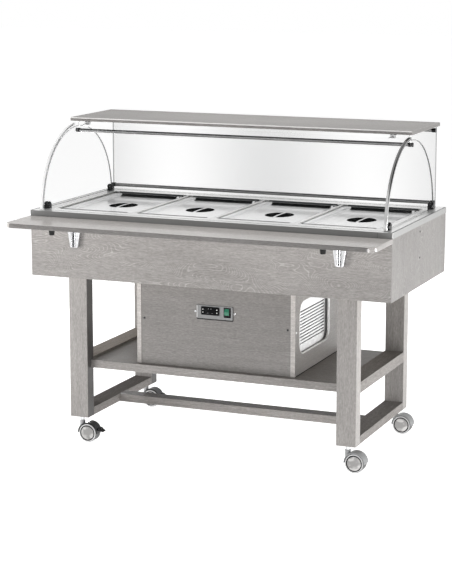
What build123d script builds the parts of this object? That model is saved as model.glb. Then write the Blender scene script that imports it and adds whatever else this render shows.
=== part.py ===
from build123d import *
import os
from math import acos, asin, cos, degrees, radians, sin, sqrt

# Counter top and chilled well
counter_margin = 132.0
counter_depth = 704.0
counter_height = 926.0
counter_edge = 22.0
counter_sheet = 2.0
counter_corner = 3.0
seam_inset = 72.0
pan_count = 4
pan_width = 325.0
pan_length = 530.0
pan_depth = 150.0
pan_rim = 12.5
pan_sheet = 1.5
pan_corner = 25.0
pan_gap = 12.0
pan_play = 1.5
well_recess = 10.0
well_depth = 165.0
well_flange = 15.0
ledge_width = 12.0
bar_overlap = 10.0
bar_height = 8.0
seat_gap = 0.3

# Pan lids
lid_inset = 2.0
lid_brim = 16.0
lid_sink = 8.5
lid_slope = 35.0
lid_sheet = 1.2
dish_diameter = 110.0
dish_depth = 20.0
strap_width = 15.0
strap_thickness = 2.5

# Wooden body round the well
panel_thickness = 20.0
panel_joint = 0.2
body_drop = 258.0
floor_thickness = 15.0
coil_space = 14.0
duct_diameter = 24.0
wood_round = 1.5

# Legs, rails and lower shelf
frame_inset_x = 144.0
frame_inset_y = 29.0
frame_shift = 11.0
leg_width = 78.0
leg_thickness = 52.0
foot_rail_height = 32.0
shelf_rail_height = 42.0
shelf_top = 331.0
shelf_thickness = 32.0
shelf_setback = 32.0
stretcher_width = 60.0
stretcher_shift = 3.0

# Machine box
box_length = 660.0
box_setback = 30.0
box_back_setback = 12.0
box_wall = 18.0
box_face_recess = 2.0
vent_side = 100.0
vent_shift = -51.0
vent_head = 56.5
vent_foot = 73.5
vent_corner = 45.0
grille_margin = 15.0
grille_sheet = 2.0
louvre_border = 69.0
louvre_pitch = 12.5
louvre_height = 5.0
louvre_end = 12.0
louvre_drop = 8.0
rear_slot_border = 38.0
rear_slot_pitch = 14.0
rear_slot_height = 6.0
rear_slot_length = 260.0

# Controls
plate_width = 150.0
plate_height = 52.0
plate_thickness = 3.0
plate_drop = 112.0
plate_corner = 3.0
moulded_round = 1.5
control_rise = 5.0
controller_x = -18.0
controller_width = 74.0
controller_height = 32.0
controller_front = 4.0
controller_body_width = 70.4
controller_body_height = 28.4
controller_body_depth = 52.0
cutout_play = 0.3
key_width = 9.0
key_height = 6.5
key_offset_x = 29.0
key_offset_z = 6.0
key_pocket = 3.0
key_proud = 0.7
key_travel = 0.6
key_clearance = 0.25
key_floor_gap = 0.2
switch_x = 51.0
switch_width = 25.0
switch_height = 32.0
switch_front = 2.0
switch_body_width = 21.6
switch_body_height = 29.0
switch_body_depth = 26.0
switch_wall = 0.9
rocker_play = 0.3
rocker_thickness = 7.0
rocker_pivot_depth = 1.0
rocker_tilt = 10.0
trunnion_radius = 1.5
running_clearance = 0.05

# Refrigerating unit
compressor_x = -140.0
compressor_diameter = 170.0
compressor_height = 165.0
compressor_foot = 14.0
compressor_foot_radius = 12.0
compressor_plate = 3.0
compressor_plate_size = 190.0
compressor_foot_pitch = 150.0
compressor_dome = 46.0
condenser_gap = 2.0
condenser_thickness = 40.0
condenser_length = 250.0
condenser_margin = 117.0
fin_pitch = 8.0
fin_thickness = 1.2
pipe_radius = 4.0
condenser_pipe_rows = 6
fan_margin = 12.0
fan_tip_gap = 6.0
fan_ring_wall = 3.0
fan_ring_depth = 30.0
fan_plate = 2.0
fan_blade_count = 5
fan_blade_depth = 22.0
fan_blade_sheet = 2.0
fan_blade_width = 44.0
fan_blade_pitch = 28.0
fan_hub_radius = 24.0
motor_radius = 34.0
motor_length = 46.0
motor_arm_width = 14.0
motor_arm_thickness = 4.0
motor_shaft_radius = 3.0
coil_rows = 6
coil_row_pitch = 76.0
coil_inset = 117.5
pipe_bend = 22.0
pipe_turn_out = 40.0
drier_radius = 10.0
drier_length = 90.0
gland_inset = 92.0
gland_height = 60.0
gland_radius = 12.0
gland_reach = 22.0
gland_bore = 4.0
gland_thread_radius = 9.0

# Clear hood
arch_margin = 50.0
arch_shift = -12.0
arch_inset = 38.0
arch_gap = 21.0
sheet_thickness = 5.0
screen_gap = 7.0
screen_overhang = 4.0
screen_floor_gap = 0.5
screen_top_reach = 26.0
tube_radius = 7.0
tube_wall = 1.5
tie_tube_drop = 19.0
cap_wall = 1.5
cap_length = 4.0
bush_length = 8.0
top_board_inset = 23.0
top_board_reach = 37.0
top_board_setback = 31.0
top_board_thickness = 15.0
back_inset = 3.0
back_end = 35.0
rear_tube_low = 22.0
rear_tube_high = 16.0
rear_cap_length = 16.0
post_radius = 3.0
clip_width = 28.0
clip_height = 28.0
clip_cheek = 6.5
clip_inner_cheek = 12.0
clip_base = 3.0
clip_play = 0.15
clip_round = 6.0
clip_front_inset = 32.0
clip_rear_inset = 15.0
contact_gap = 0.1

# Screen hinges
hinge_inset = 62.0
hinge_width = 24.0
hinge_setback = 5.0
hinge_drop = 4.5
knuckle_radius = 3.5
knuckle_width = 8.0
knuckle_gap = 0.3
hinge_pin_radius = 1.5
hinge_leaf = 2.0
hinge_leaf_length = 24.0

# Tray slide
tray_overhang = 2.0
tray_depth = 211.0
tray_thickness = 17.0
tray_drop = 21.0
tray_back_gap = 4.0
tray_corner = 40.0
tray_edge_round = 4.0
bracket_inset = 197.0
bracket_top_width = 52.0
bracket_foot_width = 33.0
bracket_height = 96.5
bracket_straight = 38.0
bracket_depth = 19.0
bracket_back = 3.0
bracket_round = 4.0
bracket_foot_corner = 9.0
bracket_top_gap = 1.5
groove_width = 16.0
bracket_hole_radius = 2.5
bracket_hole_rise = 18.0
tray_pivot_out = 11.5
tray_pivot_drop = 9.0
tray_pin_radius = 3.0
arm_width = 15.0
arm_thickness = 8.0
arm_eye_radius = 6.5
arm_reach = 158.0
buffer_radius = 12.0
buffer_tip_radius = 9.5
buffer_inset = 22.0
buffer_gap = 0.5

# Castors
castor_height = 101.5
wheel_radius = 37.5
wheel_inner = 5.0
wheel_outer = 24.5
wheel_round = 4.0
castor_trail = 32.0
hood_clearance = 1.2
hood_wall = 3.3
guard_round = 3.0
hood_web = 4.0
hood_hub_radius = 18.0
boss_radius = 11.0
stem_radius = 5.5
stem_engagement = 20.0
stem_collar_radius = 8.0
stem_collar = 17.0
stem_flange_radius = 13.0
stem_flange = 2.5
swivel_gap = 0.3
axle_radius = 4.0
axle_inset = 2.0
brake_angle = 20.0
brake_cheek_radius = 5.6
brake_lug_step = 2.0
brake_pin_radius = 2.0
brake_half_width = 14.0
brake_reach = 19.0
brake_tip_drop = 9.0
brake_gap = 0.4

# Fasteners
screw_radius = 4.0
screw_head = 1.6
plate_screw_gap = 7.0
box_screw_inset = 13.0
box_screw_drop = 157.0
end_screw_high = 46.0
end_screw_low = 146.0

# Levels and limits that follow from the sizes above, drawn about the middle of the counter
pan_pitch = pan_width + pan_gap
counter_length = pan_count * pan_pitch + counter_margin
body_bottom = counter_height - body_drop
body_half_x = counter_length / 2 - counter_sheet
body_half_y = counter_depth / 2 - counter_sheet
plate_underside = counter_height - counter_sheet
pan_row = [(i - (pan_count - 1) / 2) * pan_pitch for i in range(pan_count)]
bar_row = [(a + b) / 2 for a, b in zip(pan_row, pan_row[1:])]
opening_half_x = pan_row[-1] + pan_width / 2 + pan_play
opening_half_y = pan_length / 2 + pan_play
well_half_x = opening_half_x - ledge_width
well_half_y = opening_half_y - ledge_width
ledge_top = counter_height - well_recess
well_floor = counter_height - well_depth
frame_length = counter_length - 2 * frame_inset_x
frame_depth = counter_depth - 2 * frame_inset_y
leg_row_x = [-(frame_length - leg_width) / 2, (frame_length - leg_width) / 2]
frame_front = frame_shift - frame_depth / 2
frame_back = frame_shift + frame_depth / 2
leg_row_y = [frame_front + leg_thickness / 2, frame_back - leg_thickness / 2]
frame_inner_x = frame_length / 2 - leg_width
shelf_bottom = shelf_top - shelf_thickness
shelf_front = frame_front + shelf_setback
box_front = shelf_front + box_setback
shelf_back = frame_back - shelf_setback
box_back = shelf_back - box_back_setback
box_depth = box_back - box_front
box_middle_y = (box_front + box_back) / 2
box_inner_x = box_length / 2 - box_wall
face_y = box_front + box_face_recess
plate_centre_z = body_bottom - plate_drop
vent_length = box_depth - 2 * vent_side
vent_height = body_bottom - vent_head - shelf_top - vent_foot
vent_centre_y = box_middle_y + vent_shift
vent_centre_z = shelf_top + vent_foot + vent_height / 2
compressor_y = box_middle_y
arch_radius = counter_depth / 2 - arch_margin
arch_x = counter_length / 2 - arch_inset
arch_centre_z = counter_height
screen_inner = arch_radius + screen_gap
screen_outer = screen_inner + sheet_thickness
tie_tube_z = counter_height + arch_radius - tie_tube_drop
cap_radius = tube_radius + cap_wall
board_underside = counter_height + arch_radius + arch_gap
top_board_height = board_underside + top_board_thickness
top_board_length = counter_length - 2 * top_board_inset
top_board_front = arch_shift - top_board_reach
top_board_back = counter_depth / 2 - top_board_setback
back_length = counter_length - 2 * back_end
back_outer = top_board_back - back_inset
back_inner = back_outer - sheet_thickness
rear_tube_y = back_inner - cap_radius - contact_gap
arch_outer_x = arch_x + sheet_thickness / 2
arch_inner_x = arch_x - sheet_thickness / 2
hinge_y = top_board_front + hinge_setback
hinge_z = board_underside - hinge_drop
tray_length = counter_length + 2 * tray_overhang
tray_top = counter_height - tray_drop
tray_bottom = tray_top - tray_thickness
tray_back = -counter_depth / 2 - tray_back_gap
tray_front = tray_back - tray_depth
footprint_shift = -(tray_front + counter_depth / 2) / 2
tray_pivot_y = -body_half_y - tray_pivot_out
tray_pivot_z = tray_bottom - tray_pivot_drop
guard_inner = wheel_radius + hood_clearance
guard_outer = guard_inner + hood_wall
boss_top = castor_height - stem_collar - swivel_gap
brake_radius = guard_outer + brake_cheek_radius + brake_gap
brake_lug_radius = brake_cheek_radius + brake_lug_step

os.makedirs("parts", exist_ok=True)


def save(piece, name):
    """Label a finished piece, bring it over the middle of the footprint and write it to its own file."""
    piece.part.label = name
    piece.part.move(Location((0, footprint_shift, 0)))
    export_step(piece.part, f"parts/{name}.step")


def both(half):
    """Limits that lie evenly on both sides of zero."""
    return (-half, half)


def around(centre, size):
    """Limits that lie evenly on both sides of a centre."""
    return (centre - size / 2, centre + size / 2)


def slab(x, y, z, mode=Mode.ADD):
    """Rectangular block between three pairs of limits."""
    with Locations(((x[0] + x[1]) / 2, (y[0] + y[1]) / 2, (z[0] + z[1]) / 2)):
        Box(x[1] - x[0], y[1] - y[0], z[1] - z[0], mode=mode)


def rod_x(x, y, z, radius, mode=Mode.ADD):
    """Round bar along X between two limits."""
    with Locations(Location(((x[0] + x[1]) / 2, y, z), (0, 90, 0))):
        Cylinder(radius, x[1] - x[0], mode=mode)


def rod_y(x, y, z, radius, mode=Mode.ADD):
    """Round bar along Y between two limits."""
    with Locations(Location((x, (y[0] + y[1]) / 2, z), (90, 0, 0))):
        Cylinder(radius, y[1] - y[0], mode=mode)


def rod_z(x, y, z, radius, mode=Mode.ADD):
    """Round bar along Z between two limits."""
    with Locations((x, y, (z[0] + z[1]) / 2)):
        Cylinder(radius, z[1] - z[0], mode=mode)


def side_plane(x, y):
    """Upright plane that faces the front, with its zero on the floor."""
    return Plane(origin=(x, y, 0), x_dir=(1, 0, 0), z_dir=(0, -1, 0))


def end_plane(x):
    """Upright plane that faces +X, with Y across and Z up."""
    return Plane(origin=(x, 0, 0), x_dir=(0, 1, 0), z_dir=(1, 0, 0))


# Legs
with BuildPart() as legs:
    for leg_x in leg_row_x:
        for leg_y in leg_row_y:
            slab(around(leg_x, leg_width), around(leg_y, leg_thickness), (castor_height, body_bottom))
    fillet(legs.edges().filter_by(Axis.Z), wood_round)
save(legs, "legs")

# Foot rails and shelf rails between the legs of each end frame
with BuildPart() as end_rails:
    for leg_x in leg_row_x:
        rail_y = (frame_front + leg_thickness, frame_back - leg_thickness)
        slab(around(leg_x, leg_width), rail_y, (castor_height, castor_height + foot_rail_height))
        slab(around(leg_x, leg_width), rail_y, (shelf_bottom, shelf_bottom + shelf_rail_height))
    fillet(end_rails.edges().filter_by(Axis.Y), wood_round)
save(end_rails, "end_rails")

# Low stretcher between the foot rails
with BuildPart() as stretcher:
    slab(both(frame_inner_x), around(stretcher_shift, stretcher_width),
         (castor_height, castor_height + foot_rail_height))
    fillet(stretcher.edges().filter_by(Axis.X), wood_round)
save(stretcher, "stretcher")

# Lower shelf
with BuildPart() as lower_shelf:
    slab(both(frame_inner_x), (shelf_front, shelf_back), (shelf_bottom, shelf_top))
    fillet(lower_shelf.edges().filter_by(Axis.X), wood_round)
save(lower_shelf, "lower_shelf")

# Body panels: two long ones, and two end ones between them
inner_half_y = body_half_y - panel_thickness
inner_half_x = body_half_x - panel_thickness
with BuildPart() as body_panels:
    for side in (-1, 1):
        slab(both(body_half_x), around(side * (body_half_y - panel_thickness / 2), panel_thickness),
             (body_bottom, plate_underside))
        slab(around(side * (body_half_x - panel_thickness / 2), panel_thickness),
             both(inner_half_y - panel_joint), (body_bottom, plate_underside))
save(body_panels, "body_panels")

# Floor board of the body, with ducts for the two ends of the coil
duct_x = compressor_x
duct_row_y = both((coil_rows - 1) / 2 * coil_row_pitch)
with BuildPart() as body_floor:
    slab(both(inner_half_x - panel_joint), both(inner_half_y - panel_joint),
         (body_bottom, body_bottom + floor_thickness))
    for duct_y in duct_row_y:
        rod_z(duct_x, duct_y, (body_bottom, body_bottom + floor_thickness), duct_diameter / 2, Mode.SUBTRACT)
save(body_floor, "body_floor")

# Counter top: sheets with a folded edge round the opening of the well, butted at the end seams
with BuildPart() as counter_top:
    slab(both(counter_length / 2), both(counter_depth / 2), (counter_height - counter_edge, counter_height))
    fillet(counter_top.edges().filter_by(Axis.Z), counter_corner)
    slab(both(body_half_x), both(body_half_y), (counter_height - counter_edge, plate_underside),
         Mode.SUBTRACT)
    slab(both(opening_half_x), both(opening_half_y), (plate_underside, counter_height), Mode.SUBTRACT)
    for seam_x in both(counter_length / 2 - seam_inset):
        slab(around(seam_x, panel_joint), both(counter_depth / 2),
             (counter_height - counter_edge, counter_height), Mode.SUBTRACT)
save(counter_top, "counter_top")

# Tank with the ledge that the pans hang on
ledge_underside = ledge_top - counter_sheet
with BuildPart() as well_tank:
    slab(both(well_half_x + counter_sheet), both(well_half_y + counter_sheet),
         (well_floor - counter_sheet, ledge_top))
    slab(both(opening_half_x + counter_sheet), both(opening_half_y + counter_sheet),
         (ledge_underside, plate_underside))
    slab(both(opening_half_x + well_flange), both(opening_half_y + well_flange),
         (plate_underside - counter_sheet, plate_underside))
    slab(both(opening_half_x), both(opening_half_y), (ledge_top, plate_underside), Mode.SUBTRACT)
    slab(both(well_half_x), both(well_half_y), (well_floor, ledge_top), Mode.SUBTRACT)
save(well_tank, "well_tank")

# Insulation round the tank, with a pocket for the coil and a duct for its pipes
coil_ceiling = well_floor - counter_sheet
with BuildPart() as well_insulation:
    slab(both(inner_half_x - panel_joint), both(inner_half_y - panel_joint),
         (body_bottom + floor_thickness, ledge_underside))
    slab(both(well_half_x + counter_sheet), both(well_half_y + counter_sheet),
         (coil_ceiling - coil_space, ledge_underside), Mode.SUBTRACT)
    for duct_y in duct_row_y:
        rod_z(duct_x, duct_y, (body_bottom, coil_ceiling), duct_diameter / 2, Mode.SUBTRACT)
save(well_insulation, "well_insulation")

# Bars between the pans: a flange under the rims and a rib between them
with BuildPart() as pan_bars:
    for bar_x in bar_row:
        slab(around(bar_x, pan_gap + 2 * bar_overlap), both(well_half_y - pan_play),
             (ledge_underside, ledge_top))
        slab(around(bar_x, pan_gap - 2 * pan_play), both(opening_half_y - pan_play),
             (ledge_top, ledge_top + bar_height))
save(pan_bars, "pan_bars")


def make_pan(centre_x):
    """Open food pan whose rim hangs on the ledge and the bars."""
    rim_bottom = ledge_top + seat_gap
    body_size = (pan_width - 2 * pan_rim, pan_length - 2 * pan_rim)
    with BuildPart() as pan:
        with BuildSketch(Plane((centre_x, 0, rim_bottom))):
            RectangleRounded(pan_width, pan_length, pan_corner)
        extrude(amount=pan_sheet)
        with BuildSketch(Plane((centre_x, 0, rim_bottom + pan_sheet))):
            RectangleRounded(body_size[0], body_size[1], pan_corner)
        extrude(amount=-pan_depth)
        with BuildSketch(Plane((centre_x, 0, rim_bottom + pan_sheet))):
            RectangleRounded(body_size[0] - 2 * pan_sheet, body_size[1] - 2 * pan_sheet,
                             pan_corner - pan_sheet)
        extrude(amount=-(pan_depth - pan_sheet), mode=Mode.SUBTRACT)
    return pan


def make_lid(centre_x):
    """Pressed lid with a sunken field, a round hand dish in it and a strap across the dish."""
    lid_bottom = ledge_top + 2 * seat_gap + pan_sheet
    lid_top = lid_bottom + lid_sheet
    field_top = lid_top - lid_sink
    brim_size = (pan_width - 2 * lid_inset, pan_length - 2 * lid_inset)
    field_size = (brim_size[0] - 2 * lid_brim, brim_size[1] - 2 * lid_brim)
    with BuildPart() as lid:
        with BuildSketch(Plane((centre_x, 0, lid_bottom))):
            RectangleRounded(brim_size[0], brim_size[1], pan_corner - lid_inset)
        extrude(amount=lid_sheet)
        for inset, depth, mode in ((0, lid_sink + lid_sheet, Mode.ADD), (lid_sheet, lid_sink, Mode.SUBTRACT)):
            with BuildSketch(Plane((centre_x, 0, lid_top))):
                RectangleRounded(field_size[0] - 2 * inset, field_size[1] - 2 * inset, pan_corner - inset)
            extrude(amount=-depth, taper=lid_slope, mode=mode)
        rod_z(centre_x, 0, (field_top - dish_depth, field_top), dish_diameter / 2 + lid_sheet)
        rod_z(centre_x, 0, (field_top - dish_depth + lid_sheet, field_top), dish_diameter / 2, Mode.SUBTRACT)
        slab(around(centre_x, strap_width), both(dish_diameter / 2 + lid_sheet / 2),
             (field_top - strap_thickness, field_top))
    return lid


for number, centre_x in enumerate(pan_row, start=1):
    save(make_pan(centre_x), f"pan_{number}")
    save(make_lid(centre_x), f"lid_{number}")

# Machine box: front panel with the hole behind the control plate
control_z = plate_centre_z + control_rise
hole_left = controller_x - controller_body_width / 2 - cutout_play
hole_right = switch_x + switch_body_width / 2 + cutout_play
hole_height = switch_body_height + 2 * cutout_play
with BuildPart() as box_front_panel:
    slab(both(box_inner_x - panel_joint), (face_y, face_y + box_wall), (shelf_top, body_bottom))
    slab((hole_left, hole_right), (face_y, face_y + box_wall), around(control_z, hole_height), Mode.SUBTRACT)
save(box_front_panel, "box_front_panel")

# Machine box: plain left panel, right panel with the vent, slotted rear panel with the gland hole
rear_face = box_back - box_wall
rear_slot_count = int((vent_height - rear_slot_border) / rear_slot_pitch)
gland_x = gland_inset - box_inner_x
gland_z = shelf_top + gland_height
with BuildPart() as box_panels:
    for side in (-1, 1):
        slab(around(side * (box_length - box_wall) / 2, box_wall), (box_front, box_back),
             (shelf_top, body_bottom))
    with BuildSketch(end_plane(box_inner_x)):
        with Locations((vent_centre_y, vent_centre_z)):
            RectangleRounded(vent_length, vent_height, vent_corner)
    extrude(amount=box_wall, mode=Mode.SUBTRACT)
    slab(both(box_inner_x - panel_joint), (rear_face, box_back), (shelf_top, body_bottom))
    with BuildSketch(side_plane(0, box_back)):
        with Locations((0, vent_centre_z)):
            with GridLocations(0, rear_slot_pitch, 1, rear_slot_count):
                SlotOverall(rear_slot_length, rear_slot_height)
        with Locations((gland_x, gland_z)):
            Circle(gland_thread_radius + running_clearance)
    extrude(amount=box_wall, mode=Mode.SUBTRACT)
save(box_panels, "box_panels")

# Louvred grille on the inside of the right panel
grille_x = box_inner_x - grille_sheet
louvre_count = int((vent_height - louvre_border) / louvre_pitch)
louvre_length = vent_length - 2 * louvre_end
with BuildPart() as vent_grille:
    with BuildSketch(end_plane(grille_x)):
        with Locations((vent_centre_y, vent_centre_z)):
            Rectangle(vent_length + 2 * grille_margin, vent_height + 2 * grille_margin)
        with Locations((vent_centre_y, vent_centre_z - louvre_drop)):
            with GridLocations(0, louvre_pitch, 1, louvre_count):
                SlotOverall(louvre_length, louvre_height, mode=Mode.SUBTRACT)
    extrude(amount=grille_sheet)
save(vent_grille, "vent_grille")

# Control plate on the front panel
plate_front = face_y - plate_thickness
with BuildPart() as control_plate:
    with BuildSketch(side_plane(0, face_y)):
        with Locations((0, plate_centre_z)):
            RectangleRounded(plate_width, plate_height, plate_corner)
        with Locations((controller_x, control_z)):
            Rectangle(controller_body_width + 2 * cutout_play, controller_body_height + 2 * cutout_play,
                      mode=Mode.SUBTRACT)
        with Locations((switch_x, control_z)):
            Rectangle(switch_body_width + 2 * cutout_play, switch_body_height + 2 * cutout_play,
                      mode=Mode.SUBTRACT)
    extrude(amount=plate_thickness)
save(control_plate, "control_plate")

# Controller with pockets for its keys
controller_face = plate_front - controller_front
key_places = [(controller_x + i * key_offset_x, control_z + j * key_offset_z)
              for i in (-1, 1) for j in (1, -1)]
with BuildPart() as controller:
    slab(around(controller_x, controller_width), (controller_face, plate_front),
         around(control_z, controller_height))
    fillet(controller.edges().filter_by(Axis.Y), moulded_round)
    slab(around(controller_x, controller_body_width), (plate_front, plate_front + controller_body_depth),
         around(control_z, controller_body_height))
    for key_x, key_z in key_places:
        slab(around(key_x, key_width + 2 * key_clearance), (controller_face, controller_face + key_pocket),
             around(key_z, key_height + 2 * key_clearance), Mode.SUBTRACT)
save(controller, "controller")

# Keys of the controller
for number, (key_x, key_z) in enumerate(key_places, start=1):
    with BuildPart() as key:
        key_back = controller_face + key_pocket - key_travel - key_floor_gap
        slab(around(key_x, key_width), (controller_face - key_proud, key_back), around(key_z, key_height))
        fillet(key.edges().filter_by(Axis.Y), moulded_round)
    save(key, f"key_{number}")

# Frame and housing of the rocker switch
rocker_half_width = switch_body_width / 2 - switch_wall - rocker_play
rocker_half_height = switch_body_height / 2 - switch_wall - 2 * rocker_play
rocker_y = plate_front + rocker_pivot_depth
cavity_depth = switch_body_depth - switch_wall
with BuildPart() as switch_frame:
    slab(around(switch_x, switch_width), (plate_front - switch_front, plate_front),
         around(control_z, switch_height))
    slab(around(switch_x, switch_body_width), (plate_front, plate_front + switch_body_depth),
         around(control_z, switch_body_height))
    slab(around(switch_x, switch_body_width - 2 * switch_wall),
         (plate_front - switch_front, plate_front + cavity_depth),
         around(control_z, switch_body_height - 2 * switch_wall), Mode.SUBTRACT)
    rod_x(around(switch_x, switch_body_width), rocker_y, control_z, trunnion_radius + running_clearance,
          Mode.SUBTRACT)
save(switch_frame, "switch_frame")

# Rocker, shown pressed at its upper end
with BuildPart() as rocker:
    rocker_depth = sqrt(rocker_half_height ** 2 - (rocker_half_height - rocker_play) ** 2)
    rocker_plane = Plane(origin=(switch_x, rocker_y, control_z), x_dir=(0, cos(radians(rocker_tilt)),
                         -sin(radians(rocker_tilt))), z_dir=(1, 0, 0))
    with BuildSketch(rocker_plane):
        with BuildLine():
            Polyline((rocker_depth, rocker_half_height - rocker_play),
                     (-rocker_depth, rocker_half_height - rocker_play),
                     (-rocker_thickness / 2 - switch_front, 0),
                     (-rocker_depth, -rocker_half_height + rocker_play),
                     (rocker_depth, -rocker_half_height + rocker_play),
                     (rocker_thickness, 0), close=True)
        make_face()
    extrude(amount=rocker_half_width, both=True)
    rod_x(around(switch_x, switch_body_width), rocker_y, control_z, trunnion_radius)
save(rocker, "rocker")

# Compressor: rubber feet, base plate and welded shell
plate_bottom = shelf_top + compressor_foot
shell_bottom = plate_bottom + compressor_plate
shell_radius = compressor_diameter / 2
with BuildPart() as compressor:
    with Locations((compressor_x, compressor_y, shelf_top + compressor_foot / 2)):
        with GridLocations(compressor_foot_pitch, compressor_foot_pitch, 2, 2):
            Cylinder(compressor_foot_radius, compressor_foot)
    slab(around(compressor_x, compressor_plate_size), around(compressor_y, compressor_plate_size),
         (plate_bottom, shell_bottom))
    rod_z(compressor_x, compressor_y, (shell_bottom, shell_bottom + compressor_height), shell_radius)
    fillet(compressor.faces().sort_by(Axis.Z)[-1].edges(), compressor_dome)
save(compressor, "compressor")

# Condenser: fins on rows of pipe, standing on two end plates
condenser_outer = grille_x - condenser_gap
condenser_inner = condenser_outer - condenser_thickness
condenser_middle = (condenser_outer + condenser_inner) / 2
condenser_x = (condenser_inner, condenser_outer)
condenser_height = body_bottom - shelf_top - condenser_margin
condenser_y = around(vent_centre_y, condenser_length)
condenser_z = around(vent_centre_z, condenser_height)
fin_count = int(condenser_length / fin_pitch)
row_pitch = condenser_height / condenser_pipe_rows
row_z = [condenser_z[0] + (i + 0.5) * row_pitch for i in range(condenser_pipe_rows)]
with BuildPart() as condenser:
    with Locations((condenser_middle, vent_centre_y, vent_centre_z)):
        with GridLocations(0, fin_pitch, 1, fin_count):
            Box(condenser_thickness, fin_thickness, condenser_height)
    for z in row_z:
        rod_y(condenser_middle, condenser_y, z, pipe_radius)
    for end in condenser_y:
        slab(condenser_x, around(end, 2 * fin_thickness), (shelf_top, condenser_z[1]))
save(condenser, "condenser")

# Fan shroud on the condenser, with the motor on four arms
fan_radius = condenser_height / 2 - fan_margin
ring_inner = fan_radius + fan_tip_gap
ring_outer = ring_inner + fan_ring_wall
ring_back = condenser_inner - fan_ring_depth
arm_x = (ring_back - motor_arm_thickness, ring_back)
motor_x = (ring_back - motor_arm_thickness - motor_length, ring_back)
with BuildPart() as fan_shroud:
    slab((condenser_inner - fan_plate, condenser_inner), condenser_y, condenser_z)
    rod_x((ring_back, condenser_inner), vent_centre_y, vent_centre_z, ring_outer)
    rod_x((ring_back, condenser_inner), vent_centre_y, vent_centre_z, ring_inner, Mode.SUBTRACT)
    slab(arm_x, around(vent_centre_y, 2 * ring_outer), around(vent_centre_z, motor_arm_width))
    slab(arm_x, around(vent_centre_y, motor_arm_width), around(vent_centre_z, 2 * ring_outer))
    rod_x(motor_x, vent_centre_y, vent_centre_z, motor_radius)
    rod_x((ring_back, condenser_inner - fan_plate), vent_centre_y, vent_centre_z, motor_shaft_radius)
save(fan_shroud, "fan_shroud")

# Fan blade on the motor shaft
blade_x = (ring_back + fan_plate, ring_back + fan_plate + fan_blade_depth)
blade_middle = (blade_x[0] + blade_x[1]) / 2
with BuildPart() as fan_blade:
    rod_x(blade_x, vent_centre_y, vent_centre_z, fan_hub_radius)
    for i in range(fan_blade_count):
        turn = radians(i * 360 / fan_blade_count)
        blade_plane = Plane(origin=(blade_middle, vent_centre_y, vent_centre_z), x_dir=(1, 0, 0),
                            z_dir=(0, -sin(turn), cos(turn)))
        with BuildSketch(blade_plane.offset(fan_hub_radius / 2)):
            with Locations(Rotation(0, 0, fan_blade_pitch)):
                Rectangle(fan_blade_sheet, fan_blade_width)
        extrude(amount=fan_radius - fan_hub_radius / 2)
    rod_x(blade_x, vent_centre_y, vent_centre_z, motor_shaft_radius + running_clearance, Mode.SUBTRACT)
save(fan_blade, "fan_blade")

# Refrigerant circuit: one pipe from the condenser through the drier and the coil to the compressor
coil_z = coil_ceiling - pipe_radius - contact_gap
coil_half_length = well_half_x - coil_inset
coil_left = -coil_half_length
coil_row_y = [(i - (coil_rows - 1) / 2) * coil_row_pitch for i in range(coil_rows)]
liquid_z = row_z[0]
suction_z = shell_bottom + compressor_height / 2
coil_points = []
for i, y in enumerate(coil_row_y):
    ends = [coil_left, coil_half_length] if i % 2 == 0 else [coil_half_length, coil_left]
    if i == 0:
        ends[0] = duct_x
    if i == coil_rows - 1:
        ends[1] = duct_x
    coil_points += [(x, y, coil_z) for x in ends]
supply_points = [(condenser_middle, condenser_y[0] - fin_thickness, liquid_z),
                 (condenser_middle, coil_row_y[0], liquid_z), (duct_x, coil_row_y[0], liquid_z)]
return_points = [(duct_x, coil_row_y[-1], suction_z),
                 (duct_x, compressor_y + shell_radius + contact_gap, suction_z)]
drier_x = around((condenser_middle + duct_x) / 2, drier_length)
hot_y = condenser_y[1] + pipe_turn_out
hot_x = condenser_inner - fan_ring_depth - motor_length - pipe_turn_out
hot_points = [(compressor_x + shell_radius + contact_gap, compressor_y, suction_z),
              (hot_x, compressor_y, suction_z), (hot_x, hot_y, suction_z),
              (hot_x, hot_y, row_z[-1]), (condenser_middle, hot_y, row_z[-1]),
              (condenser_middle, condenser_y[1] + fin_thickness, row_z[-1])]
with BuildPart() as refrigerant_pipes:
    for points in (supply_points + coil_points + return_points, hot_points):
        with BuildLine() as route:
            FilletPolyline(*points, radius=pipe_bend)
        with BuildSketch(Plane(origin=route.line @ 0, z_dir=route.line % 0)):
            Circle(pipe_radius)
        sweep()
    rod_x(drier_x, coil_row_y[0], liquid_z, drier_radius)
save(refrigerant_pipes, "refrigerant_pipes")

# Cable gland in the rear panel
with BuildPart() as cable_gland:
    rod_y(gland_x, (box_back, box_back + gland_reach), gland_z, gland_radius)
    rod_y(gland_x, (rear_face - gland_reach / 2, box_back), gland_z, gland_thread_radius)
    rod_y(gland_x, (rear_face - gland_reach / 2, rear_face), gland_z, gland_radius)
    rod_y(gland_x, (rear_face - gland_reach / 2, box_back + gland_reach), gland_z, gland_bore, Mode.SUBTRACT)
save(cable_gland, "cable_gland")

# Arched end panels, held in the clips just above the counter
arch_foot = counter_height + clip_base
with BuildPart() as end_panels:
    for side in (-1, 1):
        with BuildSketch(end_plane(side * arch_x - sheet_thickness / 2)):
            with Locations((arch_shift, arch_centre_z)):
                Circle(arch_radius)
            with Locations((arch_shift, arch_foot - arch_radius)):
                Rectangle(2 * arch_radius, 2 * arch_radius, mode=Mode.SUBTRACT)
            with Locations((arch_shift, tie_tube_z)):
                Circle(tube_radius + contact_gap, mode=Mode.SUBTRACT)
        extrude(amount=sheet_thickness)
save(end_panels, "end_panels")

# Flat back panel, standing on the counter under the top board
with BuildPart() as back_panel:
    slab(both(back_length / 2), (back_inner, back_outer), (counter_height, board_underside))
save(back_panel, "back_panel")

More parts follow.
